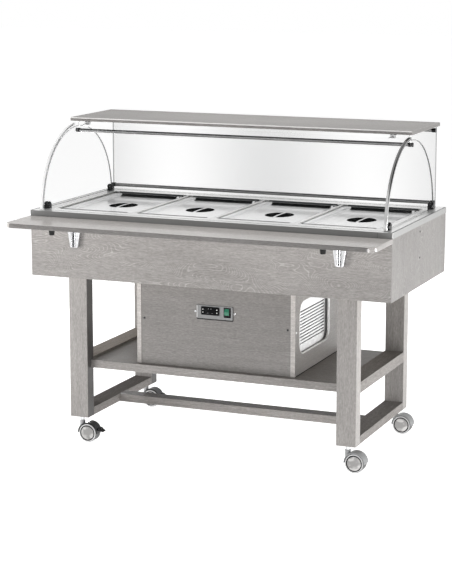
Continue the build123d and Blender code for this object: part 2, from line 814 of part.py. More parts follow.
# Top board
with BuildPart() as top_board:
    slab(both(top_board_length / 2), (top_board_front, top_board_back), (board_underside, top_board_height))
    fillet(top_board.edges().filter_by(Axis.Z), 2 * wood_round)
    fillet(top_board.edges().filter_by(Axis.X), wood_round)
save(top_board, "top_board")

# Tie tube through the end panels, and two tubes along the back panel
rear_tube_half = back_length / 2 - rear_cap_length
rear_tube_z = [counter_height + rear_tube_low, board_underside - rear_tube_high]
with BuildPart() as hood_tubes:
    for radius, mode in ((tube_radius, Mode.ADD), (tube_radius - tube_wall, Mode.SUBTRACT)):
        rod_x(both(arch_outer_x), arch_shift, tie_tube_z, radius, mode)
        for z in rear_tube_z:
            rod_x(both(rear_tube_half), rear_tube_y, z, radius, mode)
save(hood_tubes, "hood_tubes")

# Black fittings: bushes and caps of the tubes, and the clips that hold the end panels
clip_row_y = [arch_shift - arch_radius + clip_front_inset, arch_shift + arch_radius - clip_rear_inset]
clip_slot = sheet_thickness + 2 * clip_play


def make_clip(side, clip_y):
    """Block with a round top and rounded cheeks, the inner one thicker, before its slot is cut."""
    clip_inner_x = side * (arch_x - clip_slot / 2 - clip_inner_cheek)
    clip_outer_x = side * (arch_x + clip_slot / 2 + clip_cheek)
    with BuildPart() as clip:
        with BuildSketch(end_plane(min(clip_inner_x, clip_outer_x))):
            with Locations((clip_y, counter_height + (clip_height - clip_width / 2) / 2)):
                Rectangle(clip_width, clip_height - clip_width / 2)
            with Locations((clip_y, counter_height + clip_height - clip_width / 2)):
                Circle(clip_width / 2)
        extrude(amount=clip_slot + clip_cheek + clip_inner_cheek)
        cheek_edges = clip.faces().filter_by(Axis.X).edges()
        fillet(cheek_edges - clip.edges().group_by(Axis.Z)[0], clip_round)
    return clip


with BuildPart() as hood_fittings:
    for side in (-1, 1):
        bush_x = sorted((side * arch_inner_x, side * (arch_inner_x - bush_length)))
        rod_x(bush_x, arch_shift, tie_tube_z, cap_radius)
        rod_x(bush_x, arch_shift, tie_tube_z, tube_radius + contact_gap, Mode.SUBTRACT)
        end_cap_x = sorted((side * arch_outer_x, side * (arch_outer_x + cap_length)))
        rod_x(end_cap_x, arch_shift, tie_tube_z, cap_radius)
        for z in rear_tube_z:
            rod_x(sorted((side * rear_tube_half, side * back_length / 2)), rear_tube_y, z, cap_radius)
        for clip_y in clip_row_y:
            add(make_clip(side, clip_y).part)
            slab(around(side * arch_x, clip_slot), around(clip_y, clip_width),
                 (arch_foot, counter_height + clip_height), Mode.SUBTRACT)
save(hood_fittings, "hood_fittings")

# Posts between the bushes of the tie tube and the top board
with BuildPart() as board_posts:
    for side in (-1, 1):
        rod_z(side * (arch_inner_x - bush_length / 2), arch_shift,
              (tie_tube_z + cap_radius + contact_gap, board_underside), post_radius)
save(board_posts, "board_posts")

# Curved front screen, from just above the counter to just behind its hinge
screen_half = arch_outer_x + screen_overhang
arch_centre = (arch_shift, arch_centre_z)
foot_angle = degrees(asin(screen_floor_gap / screen_inner))
top_angle = degrees(acos(screen_top_reach / screen_outer))
with BuildPart() as front_screen:
    with BuildSketch(end_plane(-screen_half)):
        with BuildLine():
            outer = CenterArc(arch_centre, screen_outer, 180 - foot_angle, foot_angle - top_angle)
            inner = CenterArc(arch_centre, screen_inner, 180 - foot_angle, foot_angle - top_angle)
            Line(outer @ 0, inner @ 0)
            Line(outer @ 1, inner @ 1)
        make_face()
    extrude(amount=2 * screen_half)
save(front_screen, "front_screen")

# Hinges of the screen: leaves on the top board with the pins, and leaves on the screen
hinge_row = both(arch_x - hinge_inset)
side_knuckle = (hinge_width - knuckle_width) / 2 - knuckle_gap
plate_front_y = hinge_y + knuckle_radius + knuckle_gap
with BuildPart() as hinge_leaves:
    for x in hinge_row:
        slab(around(x, hinge_width), (plate_front_y, plate_front_y + hinge_leaf_length / 2),
             (board_underside - hinge_leaf, board_underside))
        slab(around(x, knuckle_width), (hinge_y, plate_front_y + hinge_leaf),
             (board_underside - hinge_leaf, board_underside))
        slab(around(x, knuckle_width), around(hinge_y, hinge_leaf), (hinge_z, board_underside))
        rod_x(around(x, knuckle_width), hinge_y, hinge_z, knuckle_radius)
        rod_x(around(x, hinge_width), hinge_y, hinge_z, hinge_pin_radius)
save(hinge_leaves, "hinge_leaves")

leaf_inner = screen_outer + contact_gap / 2
leaf_start = degrees(acos((arch_shift - hinge_y - knuckle_radius) / leaf_inner))
leaf_sweep = degrees(hinge_leaf_length / leaf_inner)
with BuildPart() as screen_leaves:
    for x in hinge_row:
        with BuildSketch(end_plane(x - hinge_width / 2)):
            with BuildLine():
                leaf_low = CenterArc(arch_centre, leaf_inner, 180 - leaf_start, leaf_sweep)
                leaf_high = CenterArc(arch_centre, leaf_inner + hinge_leaf, 180 - leaf_start, leaf_sweep)
                Line(leaf_low @ 0, leaf_high @ 0)
                Line(leaf_low @ 1, leaf_high @ 1)
            make_face()
        extrude(amount=hinge_width)
        for side in (-1, 1):
            middle = x + side * (hinge_width - side_knuckle) / 2
            rod_x(around(middle, side_knuckle), hinge_y, hinge_z, knuckle_radius)
            slab(around(middle, side_knuckle), (hinge_y - knuckle_radius, hinge_y),
                 (hinge_z - hinge_drop, hinge_z))
        slab(around(x, knuckle_width + 2 * knuckle_gap), around(hinge_y, 2 * (knuckle_radius + knuckle_gap)),
             (hinge_z - knuckle_radius - knuckle_gap, hinge_z + knuckle_radius), Mode.SUBTRACT)
        rod_x(around(x, hinge_width), hinge_y, hinge_z, hinge_pin_radius + running_clearance, Mode.SUBTRACT)
save(screen_leaves, "screen_leaves")

# Wall brackets of the tray slide: tapered body, groove for the arm and pivot pin across it
bracket_top = tray_bottom - bracket_top_gap
bracket_foot_z = bracket_top - bracket_height
bracket_row = both(counter_length / 2 - bracket_inset)
with BuildPart() as tray_brackets:
    for x in bracket_row:
        with BuildSketch(side_plane(x, -body_half_y)):
            with BuildLine():
                Polyline((-bracket_foot_width / 2, bracket_foot_z), (bracket_foot_width / 2, bracket_foot_z),
                         (bracket_top_width / 2, bracket_top - bracket_straight),
                         (bracket_top_width / 2, bracket_top), (-bracket_top_width / 2, bracket_top),
                         (-bracket_top_width / 2, bracket_top - bracket_straight), close=True)
            foot = make_face()
            fillet(foot.vertices().group_by(Axis.Y)[0], bracket_foot_corner)
        extrude(amount=bracket_depth)
    outer_faces = tray_brackets.faces().filter_by(Axis.Y).sort_by(Axis.Y)[:len(bracket_row)]
    fillet(outer_faces.edges(), bracket_round)
    for x in bracket_row:
        slab(around(x, groove_width), (-body_half_y - bracket_depth, -body_half_y - bracket_back),
             (bracket_foot_z, bracket_top), Mode.SUBTRACT)
        rod_x(around(x, bracket_top_width - bracket_depth), tray_pivot_y, tray_pivot_z, tray_pin_radius)
        rod_y(x, (-body_half_y - bracket_depth, -body_half_y), bracket_foot_z + bracket_hole_rise,
              bracket_hole_radius, Mode.SUBTRACT)
save(tray_brackets, "tray_brackets")

# Tray board
with BuildPart() as tray_board:
    slab(both(tray_length / 2), (tray_front, tray_back), (tray_bottom, tray_top))
    fillet(tray_board.edges().filter_by(Axis.Z).sort_by(Axis.Y)[:2], tray_corner)
    fillet(tray_board.faces().sort_by(Axis.Z)[-1].edges(), tray_edge_round)
save(tray_board, "tray_board")

# Arms under the tray board, each with an eye on its pivot pin
with BuildPart() as tray_arms:
    for x in bracket_row:
        slab(around(x, arm_width), (tray_pivot_y - arm_reach, tray_pivot_y),
             (tray_bottom - arm_thickness, tray_bottom))
        rod_x(around(x, arm_width), tray_pivot_y, tray_pivot_z, arm_eye_radius)
        rod_x(around(x, arm_width), tray_pivot_y, tray_pivot_z, tray_pin_radius + running_clearance,
              Mode.SUBTRACT)
save(tray_arms, "tray_arms")

# Rubber buffers that keep the folded board off the body
buffer_length = tray_pivot_out + tray_pivot_drop - buffer_gap
with BuildPart() as tray_buffers:
    for x in bracket_row:
        with Locations((x, tray_front + buffer_inset, tray_bottom - buffer_length / 2)):
            Cone(buffer_tip_radius, buffer_radius, buffer_length)
save(tray_buffers, "tray_buffers")


def brake_pin(x):
    """Place of the brake pin of a castor, across and up."""
    return (x + castor_trail + brake_radius * cos(radians(brake_angle)),
            wheel_radius + brake_radius * sin(radians(brake_angle)))


def make_hood(x, y, braked):
    """Swivelling castor hood: boss on the stem, web to the axle and a guard over both wheels."""
    wheel_x = x + castor_trail
    with BuildPart() as hood:
        with BuildSketch(side_plane(wheel_x, y)):
            with Locations((0, wheel_radius)):
                Circle(guard_outer)
            with Locations((0, wheel_radius - guard_outer)):
                Rectangle(2 * guard_outer, 2 * guard_outer, mode=Mode.SUBTRACT)
        extrude(amount=wheel_outer, both=True)
        fillet(hood.edges().filter_by(GeomType.CIRCLE), guard_round)
        rod_z(x, y, (wheel_radius, boss_top), boss_radius)
        for side in (-1, 1):
            wheel_space = sorted((y + side * hood_web, y + side * (wheel_outer + boss_radius)))
            rod_y(wheel_x, wheel_space, wheel_radius, guard_inner, Mode.SUBTRACT)
        rod_y(wheel_x, around(y, 2 * hood_web), wheel_radius, hood_hub_radius)
        if braked:
            lug_x, lug_z = brake_pin(x)
            rod_y(lug_x, around(y, 2 * hood_web), lug_z, brake_lug_radius)
            rod_y(lug_x, around(y, 2 * brake_half_width), lug_z, brake_pin_radius)
        rod_z(x, y, (boss_top - stem_engagement - swivel_gap, boss_top), stem_radius + running_clearance,
              Mode.SUBTRACT)
        rod_y(wheel_x, around(y, 2 * wheel_outer), wheel_radius, axle_radius + running_clearance,
              Mode.SUBTRACT)
    return hood


def make_wheels(x, y):
    """Pair of wheels on their common axle."""
    wheel_x = x + castor_trail
    with BuildPart() as wheels:
        for side in (-1, 1):
            wheel_y = sorted((y + side * wheel_inner, y + side * wheel_outer))
            rod_y(wheel_x, wheel_y, wheel_radius, wheel_radius)
        fillet(wheels.edges().filter_by(GeomType.CIRCLE), wheel_round)
        rod_y(wheel_x, around(y, 2 * wheel_outer), wheel_radius, axle_radius + running_clearance,
              Mode.SUBTRACT)
        rod_y(wheel_x, around(y, 2 * (wheel_outer - axle_inset)), wheel_radius, axle_radius)
    return wheels


def make_brake(x, y):
    """Brake pedal that straddles the lug of its hood."""
    lug_x, lug_z = brake_pin(x)
    with BuildPart() as brake:
        with BuildSketch(side_plane(lug_x, y)):
            with Locations((0, lug_z)):
                Circle(brake_cheek_radius)
            with BuildLine():
                Polyline((0, lug_z + brake_cheek_radius), (brake_reach, lug_z - brake_tip_drop),
                         (0, lug_z - brake_cheek_radius), close=True)
            make_face()
        extrude(amount=brake_half_width, both=True)
        rod_y(lug_x, around(y, 2 * (hood_web + brake_gap)), lug_z, brake_lug_radius + brake_gap,
              Mode.SUBTRACT)
        rod_y(lug_x, around(y, 2 * brake_half_width), lug_z, brake_pin_radius + running_clearance,
              Mode.SUBTRACT)
    return brake


for leg_x, side_name in zip(leg_row_x, ("left", "right")):
    for leg_y, end_name in zip(leg_row_y, ("front", "rear")):
        braked = side_name == "left"
        save(make_hood(leg_x, leg_y, braked), f"castor_{end_name}_{side_name}")
        save(make_wheels(leg_x, leg_y), f"wheels_{end_name}_{side_name}")
        if braked:
            save(make_brake(leg_x, leg_y), f"brake_{end_name}_{side_name}")

# Castor stems with their flanges and collars under the legs
with BuildPart() as castor_stems:
    for leg_x in leg_row_x:
        for leg_y in leg_row_y:
            rod_z(leg_x, leg_y, (castor_height - stem_flange, castor_height), stem_flange_radius)
            rod_z(leg_x, leg_y, (castor_height - stem_collar, castor_height), stem_collar_radius)
            rod_z(leg_x, leg_y, (boss_top - stem_engagement, castor_height), stem_radius)
save(castor_stems, "castor_stems")

# Screws of the control plate, the box front and the body ends
with BuildPart() as panel_screws:
    for side in (-1, 1):
        rod_y(side * (plate_width / 2 + plate_screw_gap), (face_y - screw_head, face_y), plate_centre_z,
              screw_radius)
        rod_y(side * (box_inner_x - box_screw_inset), (face_y - screw_head, face_y),
              body_bottom - box_screw_drop, screw_radius)
        for drop in (end_screw_high, end_screw_low):
            head_x = sorted((side * body_half_x, side * (body_half_x + screw_head)))
            rod_x(head_x, 0, counter_height - drop, screw_radius)
save(panel_screws, "panel_screws")
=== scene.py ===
import math
import bmesh
import bpy
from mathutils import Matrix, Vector


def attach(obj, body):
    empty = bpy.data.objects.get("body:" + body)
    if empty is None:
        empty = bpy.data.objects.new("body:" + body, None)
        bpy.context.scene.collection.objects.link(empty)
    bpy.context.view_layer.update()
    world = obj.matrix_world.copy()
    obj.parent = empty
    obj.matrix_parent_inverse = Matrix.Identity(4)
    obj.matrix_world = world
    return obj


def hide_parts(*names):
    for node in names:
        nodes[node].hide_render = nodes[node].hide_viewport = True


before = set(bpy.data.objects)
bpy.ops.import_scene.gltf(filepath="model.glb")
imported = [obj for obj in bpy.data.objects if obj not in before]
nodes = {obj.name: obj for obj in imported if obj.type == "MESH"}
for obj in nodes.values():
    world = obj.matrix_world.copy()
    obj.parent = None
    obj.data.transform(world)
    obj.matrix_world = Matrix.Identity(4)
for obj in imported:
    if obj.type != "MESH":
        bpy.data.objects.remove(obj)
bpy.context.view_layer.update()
scene = bpy.context.scene

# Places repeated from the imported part, in metres
COUNTER_TOP = 0.926
MIDDLE_Y = 0.1075  # of the pans and lids
ARCH_Y = 0.0955  # axis of the arched ends and of the front screen
ARCH_RADIUS = 0.302
ARCH_X = 0.702
SHEET = 0.005
PAN_ROW = (-0.5055, -0.1685, 0.1685, 0.5055)
LEG_X = 0.557
CASTOR_Y = {"front": -0.1785, "rear": 0.4155}
SIDES = ((-1, "left"), (1, "right"))


# Materials

def feed(tree, socket, value):
    """Links a socket to another one, or sets its value."""
    if isinstance(value, bpy.types.NodeSocket):
        tree.links.new(value, socket)
    else:
        socket.default_value = value


def add_node(tree, kind, inputs=None, **settings):
    node = tree.nodes.new("ShaderNode" + kind)
    for key, value in settings.items():
        setattr(node, key, value)
    for key, value in (inputs or {}).items():
        feed(tree, node.inputs[key], value)
    return node


def spread(tree, value, low, high, to_low=0.0, to_high=1.0, smooth=False):
    """Maps the range from low to high onto another range."""
    made = add_node(tree, "MapRange", {0: value, 1: low, 2: high, 3: to_low, 4: to_high})
    made.interpolation_type = "SMOOTHSTEP" if smooth else "LINEAR"
    return made.outputs[0]


def grey(level):
    return (level, level, level)


def scaled(colour, factor):
    return tuple(min(1.0, factor * c) for c in colour)


EDGE_RANGE = (0.999, 0.9)  # cosine between the rounded and the true normal, off an edge and on it


class Shader:
    """A principled material with short calls for the nodes that feed it."""

    def __init__(self, name, **sockets):
        self.mat = bpy.data.materials.new(name)
        self.mat.use_nodes = True
        self.tree = self.mat.node_tree
        self.bsdf = self.tree.nodes["Principled BSDF"]
        self.place = self.add("TexCoord").outputs["Object"]
        self.normal = None
        self.set(**sockets)

    def set(self, **sockets):
        for key, value in sockets.items():
            feed(self.tree, self.bsdf.inputs[key.replace("_", " ")], value)
        return self.mat

    def add(self, kind, inputs=None, **settings):
        return add_node(self.tree, kind, inputs, **settings)

    def maths(self, operation, first, second=0.0):
        return self.add("Math", {0: first, 1: second}, operation=operation).outputs[0]

    def vector(self, operation, first, second):
        return self.add("VectorMath", {0: first, 1: second}, operation=operation).outputs

    def split(self, vector):
        return self.add("SeparateXYZ", {0: vector}).outputs

    def true_normal(self):
        return self.add("NewGeometry").outputs["True Normal"]

    def total(self, *terms):
        """Weighted sum of pairs of a value and its weight."""
        parts = [self.maths("MULTIPLY", value, weight) for value, weight in terms]
        result = parts[0]
        for part in parts[1:]:
            result = self.maths("ADD", result, part)
        return result

    def noise(self, stretch, detail=2.0, roughness=0.5, distortion=0.0):
        if not isinstance(stretch, tuple):
            stretch = (stretch,) * 3
        made = self.add("TexNoise", {"Vector": self.vector("MULTIPLY", self.place, stretch)[0], "Scale": 1.0,
                                     "Detail": detail, "Roughness": roughness, "Distortion": distortion})
        return made.outputs[0]

    def spread(self, value, *limits, smooth=False):
        return spread(self.tree, value, *limits, smooth=smooth)

    def ramp(self, value, *stops):
        made = self.add("ValToRGB", {"Fac": value})
        elements = made.color_ramp.elements
        while len(elements) < len(stops):
            elements.new(0.5)
        for element, (position, colour) in zip(elements, stops):
            element.position = position
            element.color = (*colour, 1.0)
        return made.outputs["Color"]

    def blend(self, factor, first, second):
        made = self.add("Mix", {0: factor}, data_type="RGBA")
        for index, colour in ((6, first), (7, second)):
            feed(self.tree, made.inputs[index], (*colour, 1.0) if isinstance(colour, tuple) else colour)
        return made.outputs[2]

    def retone(self, colour, factor, where):
        """Multiplies the colour by a factor where the mask is set."""
        return self.blend(where, colour, self.vector("MULTIPLY", colour, grey(factor))[0])

    def soften(self, radius):
        """Rounds sharp edges in shading, and returns how near an edge a point is."""
        self.normal = self.add("Bevel", {"Radius": radius}, samples=4).outputs[0]
        across = self.vector("DOT_PRODUCT", self.normal, self.true_normal())["Value"]
        return self.spread(across, *EDGE_RANGE)

    def bump(self, height, distance):
        made = self.add("Bump", {"Height": height, "Distance": distance, "Strength": 1.0})
        if self.normal:
            feed(self.tree, made.inputs["Normal"], self.normal)
        self.set(Normal=made.outputs[0])


AXIS_ORDER = {"X": (0, 1, 2), "Y": (1, 0, 2), "Z": (2, 0, 1)}
SEED_SHIFT = (1.37, 0.71, 0.43)
END_FACING = 0.5


def along_grain(shader, grain, seed):
    """Turns the place so that its first axis runs with the grain."""
    parts = shader.split(shader.place)
    places = [shader.add("CombineXYZ", {i: parts[k] for i, k in enumerate(AXIS_ORDER[axis])}).outputs[0]
              for axis in grain]
    place = places[0]
    if len(places) > 1:
        facing = shader.maths("ABSOLUTE", shader.split(shader.true_normal())[0])
        is_end = shader.maths("GREATER_THAN", facing, END_FACING)
        place = shader.add("Mix", {0: is_end, 4: places[0], 5: places[1]}, data_type="VECTOR").outputs[1]
    shader.place = shader.vector("ADD", place, tuple(seed * step for step in SEED_SHIFT))[0]


# Stretch of the wood's noises, along the grain and across it
CONTOUR = (2.2, 5.0, 5.0)
BROAD = (1.2, 2.6, 2.6)
STREAK = (5.0, 70.0, 70.0)
FIBRE = (34.0, 460.0, 460.0)
FLECK = (90.0, 210.0, 210.0)
PORE = (45.0, 800.0, 800.0)
LINES_PER_METRE = 175.0
LINE_WIDTH = 0.18
WOOD_TONES = ((0.41, (0.176, 0.166, 0.158)), (0.60, (0.284, 0.269, 0.258)), (0.84, (0.448, 0.429, 0.414)))
# Painted shade for the underside of a board
UNDERSIDE_SHADE_TONE = grey(0.010)
# Painted highlight along an upper front edge
HIGHLIGHT_TONE = (0.66, 0.65, 0.64)
WOOD_RELIEF = 0.00035
LOOKS_DOWN = -0.9
LOOKS_THAT_WAY = 0.7
ABOVE_FEET = 0.3


def ways_to_look(s, spot, true):
    """How far a face looks up, up on the left side above the feet, inwards and outwards, for painted light
    and shade.
    """
    inwards = s.maths("MULTIPLY", true[0], s.maths("SIGN", s.maths("MULTIPLY", spot[0], -1.0)))
    above_feet = s.maths("GREATER_THAN", spot[2], ABOVE_FEET)
    raised = s.maths("MULTIPLY", above_feet, s.maths("LESS_THAN", spot[0], 0.0))
    return {"up": true[2], "high": s.maths("MULTIPLY", true[2], raised),
            "inwards": inwards, "outwards": s.maths("MULTIPLY", inwards, -1.0)}


def wood(name, grain, seed, tone=1.0, painted_underside_shade=False, figure=64.0, lacquer=0.12, lacquer_roughness=0.35,
         lines=0.10, gloss=0.42, wear_and_highlight=0.26, arris=0.0016, painted_front_edge=None, highlight_above=None, painted_by_facing=()):
    """Grey-stained veneer: contour lines of the sliced log, fine fibres, pores, and paler edges that are
    partly wear and partly painted highlight.

    grain: axis of the grain; a second letter is the axis on end panels
    painted_underside_shade: whether the underside is painted near-black, as painted shade
    figure, lines: how far the contour lines wander, and their strength
    wear_and_highlight, arris: paleness and width of the pale edges, partly wear and partly painted highlight
    painted_front_edge: place of the front edge along Y, and the factor of the painted light on the faces in
    front of it; a factor below 1 is painted shade
    highlight_above: height above which the front edge carries a pale painted highlight
    painted_by_facing: painted light and shade, as factors on the tones of faces that look in a way that
    ways_to_look names
    """
    s = Shader(name, Specular_IOR_Level=gloss, Coat_Weight=lacquer, Coat_Roughness=lacquer_roughness)
    spot = s.split(s.place)
    along_grain(s, grain, seed)
    edge = s.soften(arris)
    parts = s.split(s.place)
    across = s.maths("MULTIPLY", s.maths("ADD", parts[1], parts[2]), LINES_PER_METRE)
    contour = s.maths("MULTIPLY", s.noise(CONTOUR, 2.0, 0.4, 0.25), figure)
    folded = s.maths("PINGPONG", s.maths("ADD", across, contour), 0.5)
    line = s.spread(folded, 0.0, LINE_WIDTH, 1.0, 0.0, smooth=True)
    broad = s.noise(BROAD, 2.0)
    streak = s.noise(STREAK, 3.0, 0.6)
    fibre = s.noise(FIBRE, 3.0, 0.6)
    fleck = s.noise(FLECK, 2.0, 0.6)
    pore = s.spread(s.noise(PORE, 2.0), 0.60, 0.70)
    # The pale edges are partly wear and partly painted highlight
    shade = s.total((broad, 0.28), (streak, 0.16), (fibre, 0.42), (fleck, 0.27), (line, lines), (pore, -0.10),
                    (edge, wear_and_highlight))
    colour = s.ramp(shade, *[(at, scaled(rgb, tone)) for at, rgb in WOOD_TONES])
    true = s.split(s.true_normal())
    # Painted shade: a near-black underside, standing in for the shade under the board
    if painted_underside_shade:
        colour = s.blend(s.maths("LESS_THAN", true[2], LOOKS_DOWN), colour, UNDERSIDE_SHADE_TONE)
    # Painted shade on the front edge faces where the factor is below 1, painted light where it is above 1
    if painted_front_edge:
        front = s.maths("LESS_THAN", spot[1], painted_front_edge[0])
        colour = s.retone(colour, painted_front_edge[1], front)
        # Painted highlight along the upper part of the front edge
        if highlight_above:
            high = s.maths("GREATER_THAN", spot[2], highlight_above)
            colour = s.blend(s.maths("MULTIPLY", front, high), colour, HIGHLIGHT_TONE)
    # Painted light and shade by the way a face looks, such as darker tops under the counter and darker inner
    # faces of the legs
    ways = ways_to_look(s, spot, true) if painted_by_facing else {}
    for way, factor in painted_by_facing:
        colour = s.retone(colour, factor, s.maths("GREATER_THAN", ways[way], LOOKS_THAT_WAY))
    s.bump(s.total((fibre, 0.6), (line, 0.35), (pore, -0.5)), WOOD_RELIEF)
    return s.set(Base_Color=colour, Roughness=s.spread(fibre, 0.25, 0.75, 0.38, 0.56))


LAYERS_PER_METRE = 230.0
SAWN = (9.0, 160.0, 160.0)
SAWN_RELIEF = 0.0006


def plywood(name):
    """Raw board: paler layers with a rough sawn surface."""
    s = Shader(name, Specular_IOR_Level=0.3)
    layer = s.maths("PINGPONG", s.maths("MULTIPLY", s.split(s.place)[2], LAYERS_PER_METRE), 0.5)
    grainy = s.noise(SAWN, 3.0, 0.6)
    s.bump(grainy, SAWN_RELIEF)
    shade = s.total((layer, 0.5), (grainy, 0.6))
    colour = s.ramp(shade, (0.2, (0.29, 0.25, 0.20)), (0.8, (0.46, 0.41, 0.34)))
    return s.set(Base_Color=colour, Roughness=s.spread(grainy, 0.3, 0.7, 0.6, 0.8))


# Parts of a metal's tone: its own duller, brighter and patched parts, the painted dark reflection it fades
# to, and the painted shade on the counter's front and sides
DULL = 0.86
BRIGHT = 1.18
PATCHED = 0.5
DARK_REFLECTION_TONE = 0.3
SMUDGE_SCALE = 6.0
FOLD_SHADE_TONE = grey(0.02)
FOLD_FRONT_SHADE = 0.68
FOLD_SIDE_SHADE = 0.46
FOLD_ROUGHNESS = 0.55


def brushed(name, colour, low, high, brush=(2.0, 520.0, 520.0), depth=0.00012, edge_radius=0.0012, fold_shade=None,
            rim=1.0, metal=1.0, level=0.2, patch=None, dark_reflection_heights=None):
    """Satin metal with fine brush lines, faint smudges and brighter edges.

    low, high: limits of the roughness
    brush, depth: stretch and relief of the brush lines
    fold_shade: distances along X and Y from the middle, past which the sides and the front are painted darker
    as painted shade, and rougher
    rim: tint at grazing angles
    metal, level: share of metal, and how far the rest mirrors
    patch: scale of dark patches
    dark_reflection_heights: heights between which the tone falls off to a painted dark reflection
    """
    s = Shader(name, Metallic=metal, Specular_IOR_Level=level, Specular_Tint=(*grey(rim), 1.0))
    edge = s.soften(edge_radius)
    hair = s.noise(brush, 2.0, 0.6)
    smudge = s.noise(SMUDGE_SCALE, 3.0, 0.55)
    rough = s.maths("ADD", s.spread(hair, 0.25, 0.75, low, high), s.spread(smudge, 0.45, 0.75, 0.0, 0.06))
    tint = s.blend(s.spread(hair, 0.3, 0.7), scaled(colour, DULL), colour)
    tint = s.blend(s.maths("MULTIPLY", edge, 0.5), tint, scaled(colour, BRIGHT))
    if patch:
        clean = s.spread(s.noise(patch, 2.0, 0.5, 0.6), 0.42, 0.60, smooth=True)
        tint = s.blend(clean, scaled(colour, PATCHED), tint)
    spot = s.split(s.place)
    # Painted dark reflection: the tone falls off towards the top
    if dark_reflection_heights:
        tint = s.blend(s.spread(spot[2], *dark_reflection_heights, smooth=True), tint, scaled(colour, DARK_REFLECTION_TONE))
    # Painted shade: the counter's front and sides are darker, and rougher
    if fold_shade:
        off = s.maths("ABSOLUTE", s.maths("SUBTRACT", spot[1], MIDDLE_Y))
        front = s.maths("MULTIPLY", s.maths("GREATER_THAN", off, fold_shade[1]), FOLD_FRONT_SHADE)
        out = s.maths("ABSOLUTE", spot[0])
        side = s.maths("MULTIPLY", s.maths("GREATER_THAN", out, fold_shade[0]), FOLD_SIDE_SHADE)
        folded = s.maths("MAXIMUM", front, side)
        tint = s.blend(folded, tint, FOLD_SHADE_TONE)
        rough = s.maths("ADD", rough, s.maths("MULTIPLY", folded, FOLD_ROUGHNESS))
    s.bump(hair, depth)
    return s.set(Base_Color=tint, Roughness=rough)


CLOUD_SCALE = 14.0
COAT_ROUGHNESS = 0.15
BOSS_RADIUS = 0.0115
BOSS_FOOT = 0.060
BOSS_TONE = (0.46, 0.46, 0.47)


def moulded(name, colour, low, high, scale=900.0, depth=0.00008, coat=0.0, edge_radius=0.0008, gloss=0.5,
            neck=None):
    """Moulded plastic or paint: fine eroded grain, cloudy sheen and edges paler from rubbing.

    low, high: limits of the roughness
    scale, depth: fineness and relief of the grain
    neck: axis of a pale boss
    """
    s = Shader(name, Coat_Weight=coat, Coat_Roughness=COAT_ROUGHNESS, Specular_IOR_Level=gloss)
    edge = s.soften(edge_radius)
    grain = s.noise(scale, 2.0, 0.55)
    cloud = s.noise(CLOUD_SCALE, 3.0, 0.6)
    tint = s.blend(s.spread(cloud, 0.35, 0.7), colour, scaled(colour, 0.88))
    tint = s.blend(s.maths("MULTIPLY", edge, 0.6), tint, tuple(c * 1.25 + 0.012 for c in colour))
    if neck:
        parts = s.split(s.vector("SUBTRACT", s.place, (*neck, 0.0))[0])
        reach = s.total((parts[0], parts[0]), (parts[1], parts[1]))
        inside = s.maths("LESS_THAN", reach, BOSS_RADIUS ** 2)
        boss = s.maths("MULTIPLY", inside, s.maths("GREATER_THAN", parts[2], BOSS_FOOT))
        tint = s.blend(boss, tint, BOSS_TONE)
    s.bump(grain, depth)
    rough = s.maths("ADD", s.spread(grain, 0.3, 0.7, low, high), s.spread(cloud, 0.4, 0.7, 0.0, 0.05))
    return s.set(Base_Color=tint, Roughness=rough)


ACRYLIC_IOR = 1.49
WIPE = (3.0, 9.0, 30.0)
DUST_SCALE = 260.0
DUST_RELIEF = 0.00001


def clear(name, colour, alpha, roughness, glow_wave=None):
    """Cast acrylic with faint wiping marks in its gloss; glow_wave is the length of a slow swing in its
    opacity, a painted glow.
    """
    s = Shader(name, IOR=ACRYLIC_IOR, Alpha=alpha, Specular_IOR_Level=0.6)
    wipe = s.noise(WIPE, 4.0, 0.65)
    tint = s.blend(s.spread(wipe, 0.3, 0.75), colour, scaled(colour, 1.12))
    s.bump(s.noise(DUST_SCALE, 2.0), DUST_RELIEF)
    # Painted glow: the opacity swings slowly along X, clear in bands
    if glow_wave:
        swing = s.maths("COSINE", s.maths("MULTIPLY", s.split(s.place)[0], 2.0 * math.pi / glow_wave))
        s.set(Alpha=s.spread(swing, -1.0, 1.0, 0.0, alpha))
    return s.set(Base_Color=tint, Roughness=s.spread(wipe, 0.3, 0.7, roughness, roughness + 0.07))


WOOD_X = wood("veneer_long", "X", 1.0, figure=9.0, lacquer=0.0, gloss=0.1, lines=0.05, painted_by_facing=(("up", 0.34),))
# Box front: tone lowered as painted shade for its place under the counter
WOOD_FRONT = wood("veneer_box_front", "X", 6.0, 0.76, figure=40.0, lines=0.05)
WOOD_SHELF = wood("veneer_shelf", "X", 3.0, figure=14.0, lacquer=0.06, gloss=0.2, lines=0.05,
                  painted_by_facing=(("up", 0.78),))
# Top board: tone lowered as painted shade against the strong overhead light; its front edge face painted
# darker, with a painted highlight along its top
WOOD_TOP = wood("veneer_top_board", "X", 8.0, 0.82, painted_underside_shade=True, figure=16.0, wear_and_highlight=0.9, arris=0.0045,
                painted_front_edge=(0.0590, 0.80), highlight_above=1.2598)
# Tray: tone raised as painted light, as it gets less light than the top board; its front edge faces painted
# darker
WOOD_TRAY = wood("veneer_tray", "X", 11.0, 1.55, figure=16.0, lacquer=0.4, lacquer_roughness=0.10, wear_and_highlight=0.5,
                 arris=0.003, painted_front_edge=(-0.4568, 0.32))
WOOD_Y = wood("veneer_deep", "Y", 2.0, figure=6.0, lacquer=0.0, gloss=0.0, lines=0.04,
              painted_by_facing=(("up", 0.74), ("high", 2.2), ("inwards", 1.1), ("outwards", 1.3)))
WOOD_Z = wood("veneer_upright", "Z", 4.0, 1.06, figure=6.0, lines=0.03,
              painted_by_facing=(("inwards", 0.26), ("outwards", 1.6)))
WOOD_BODY = wood("veneer_body", "XZ", 5.0, 0.98, figure=105.0, lines=0.15)
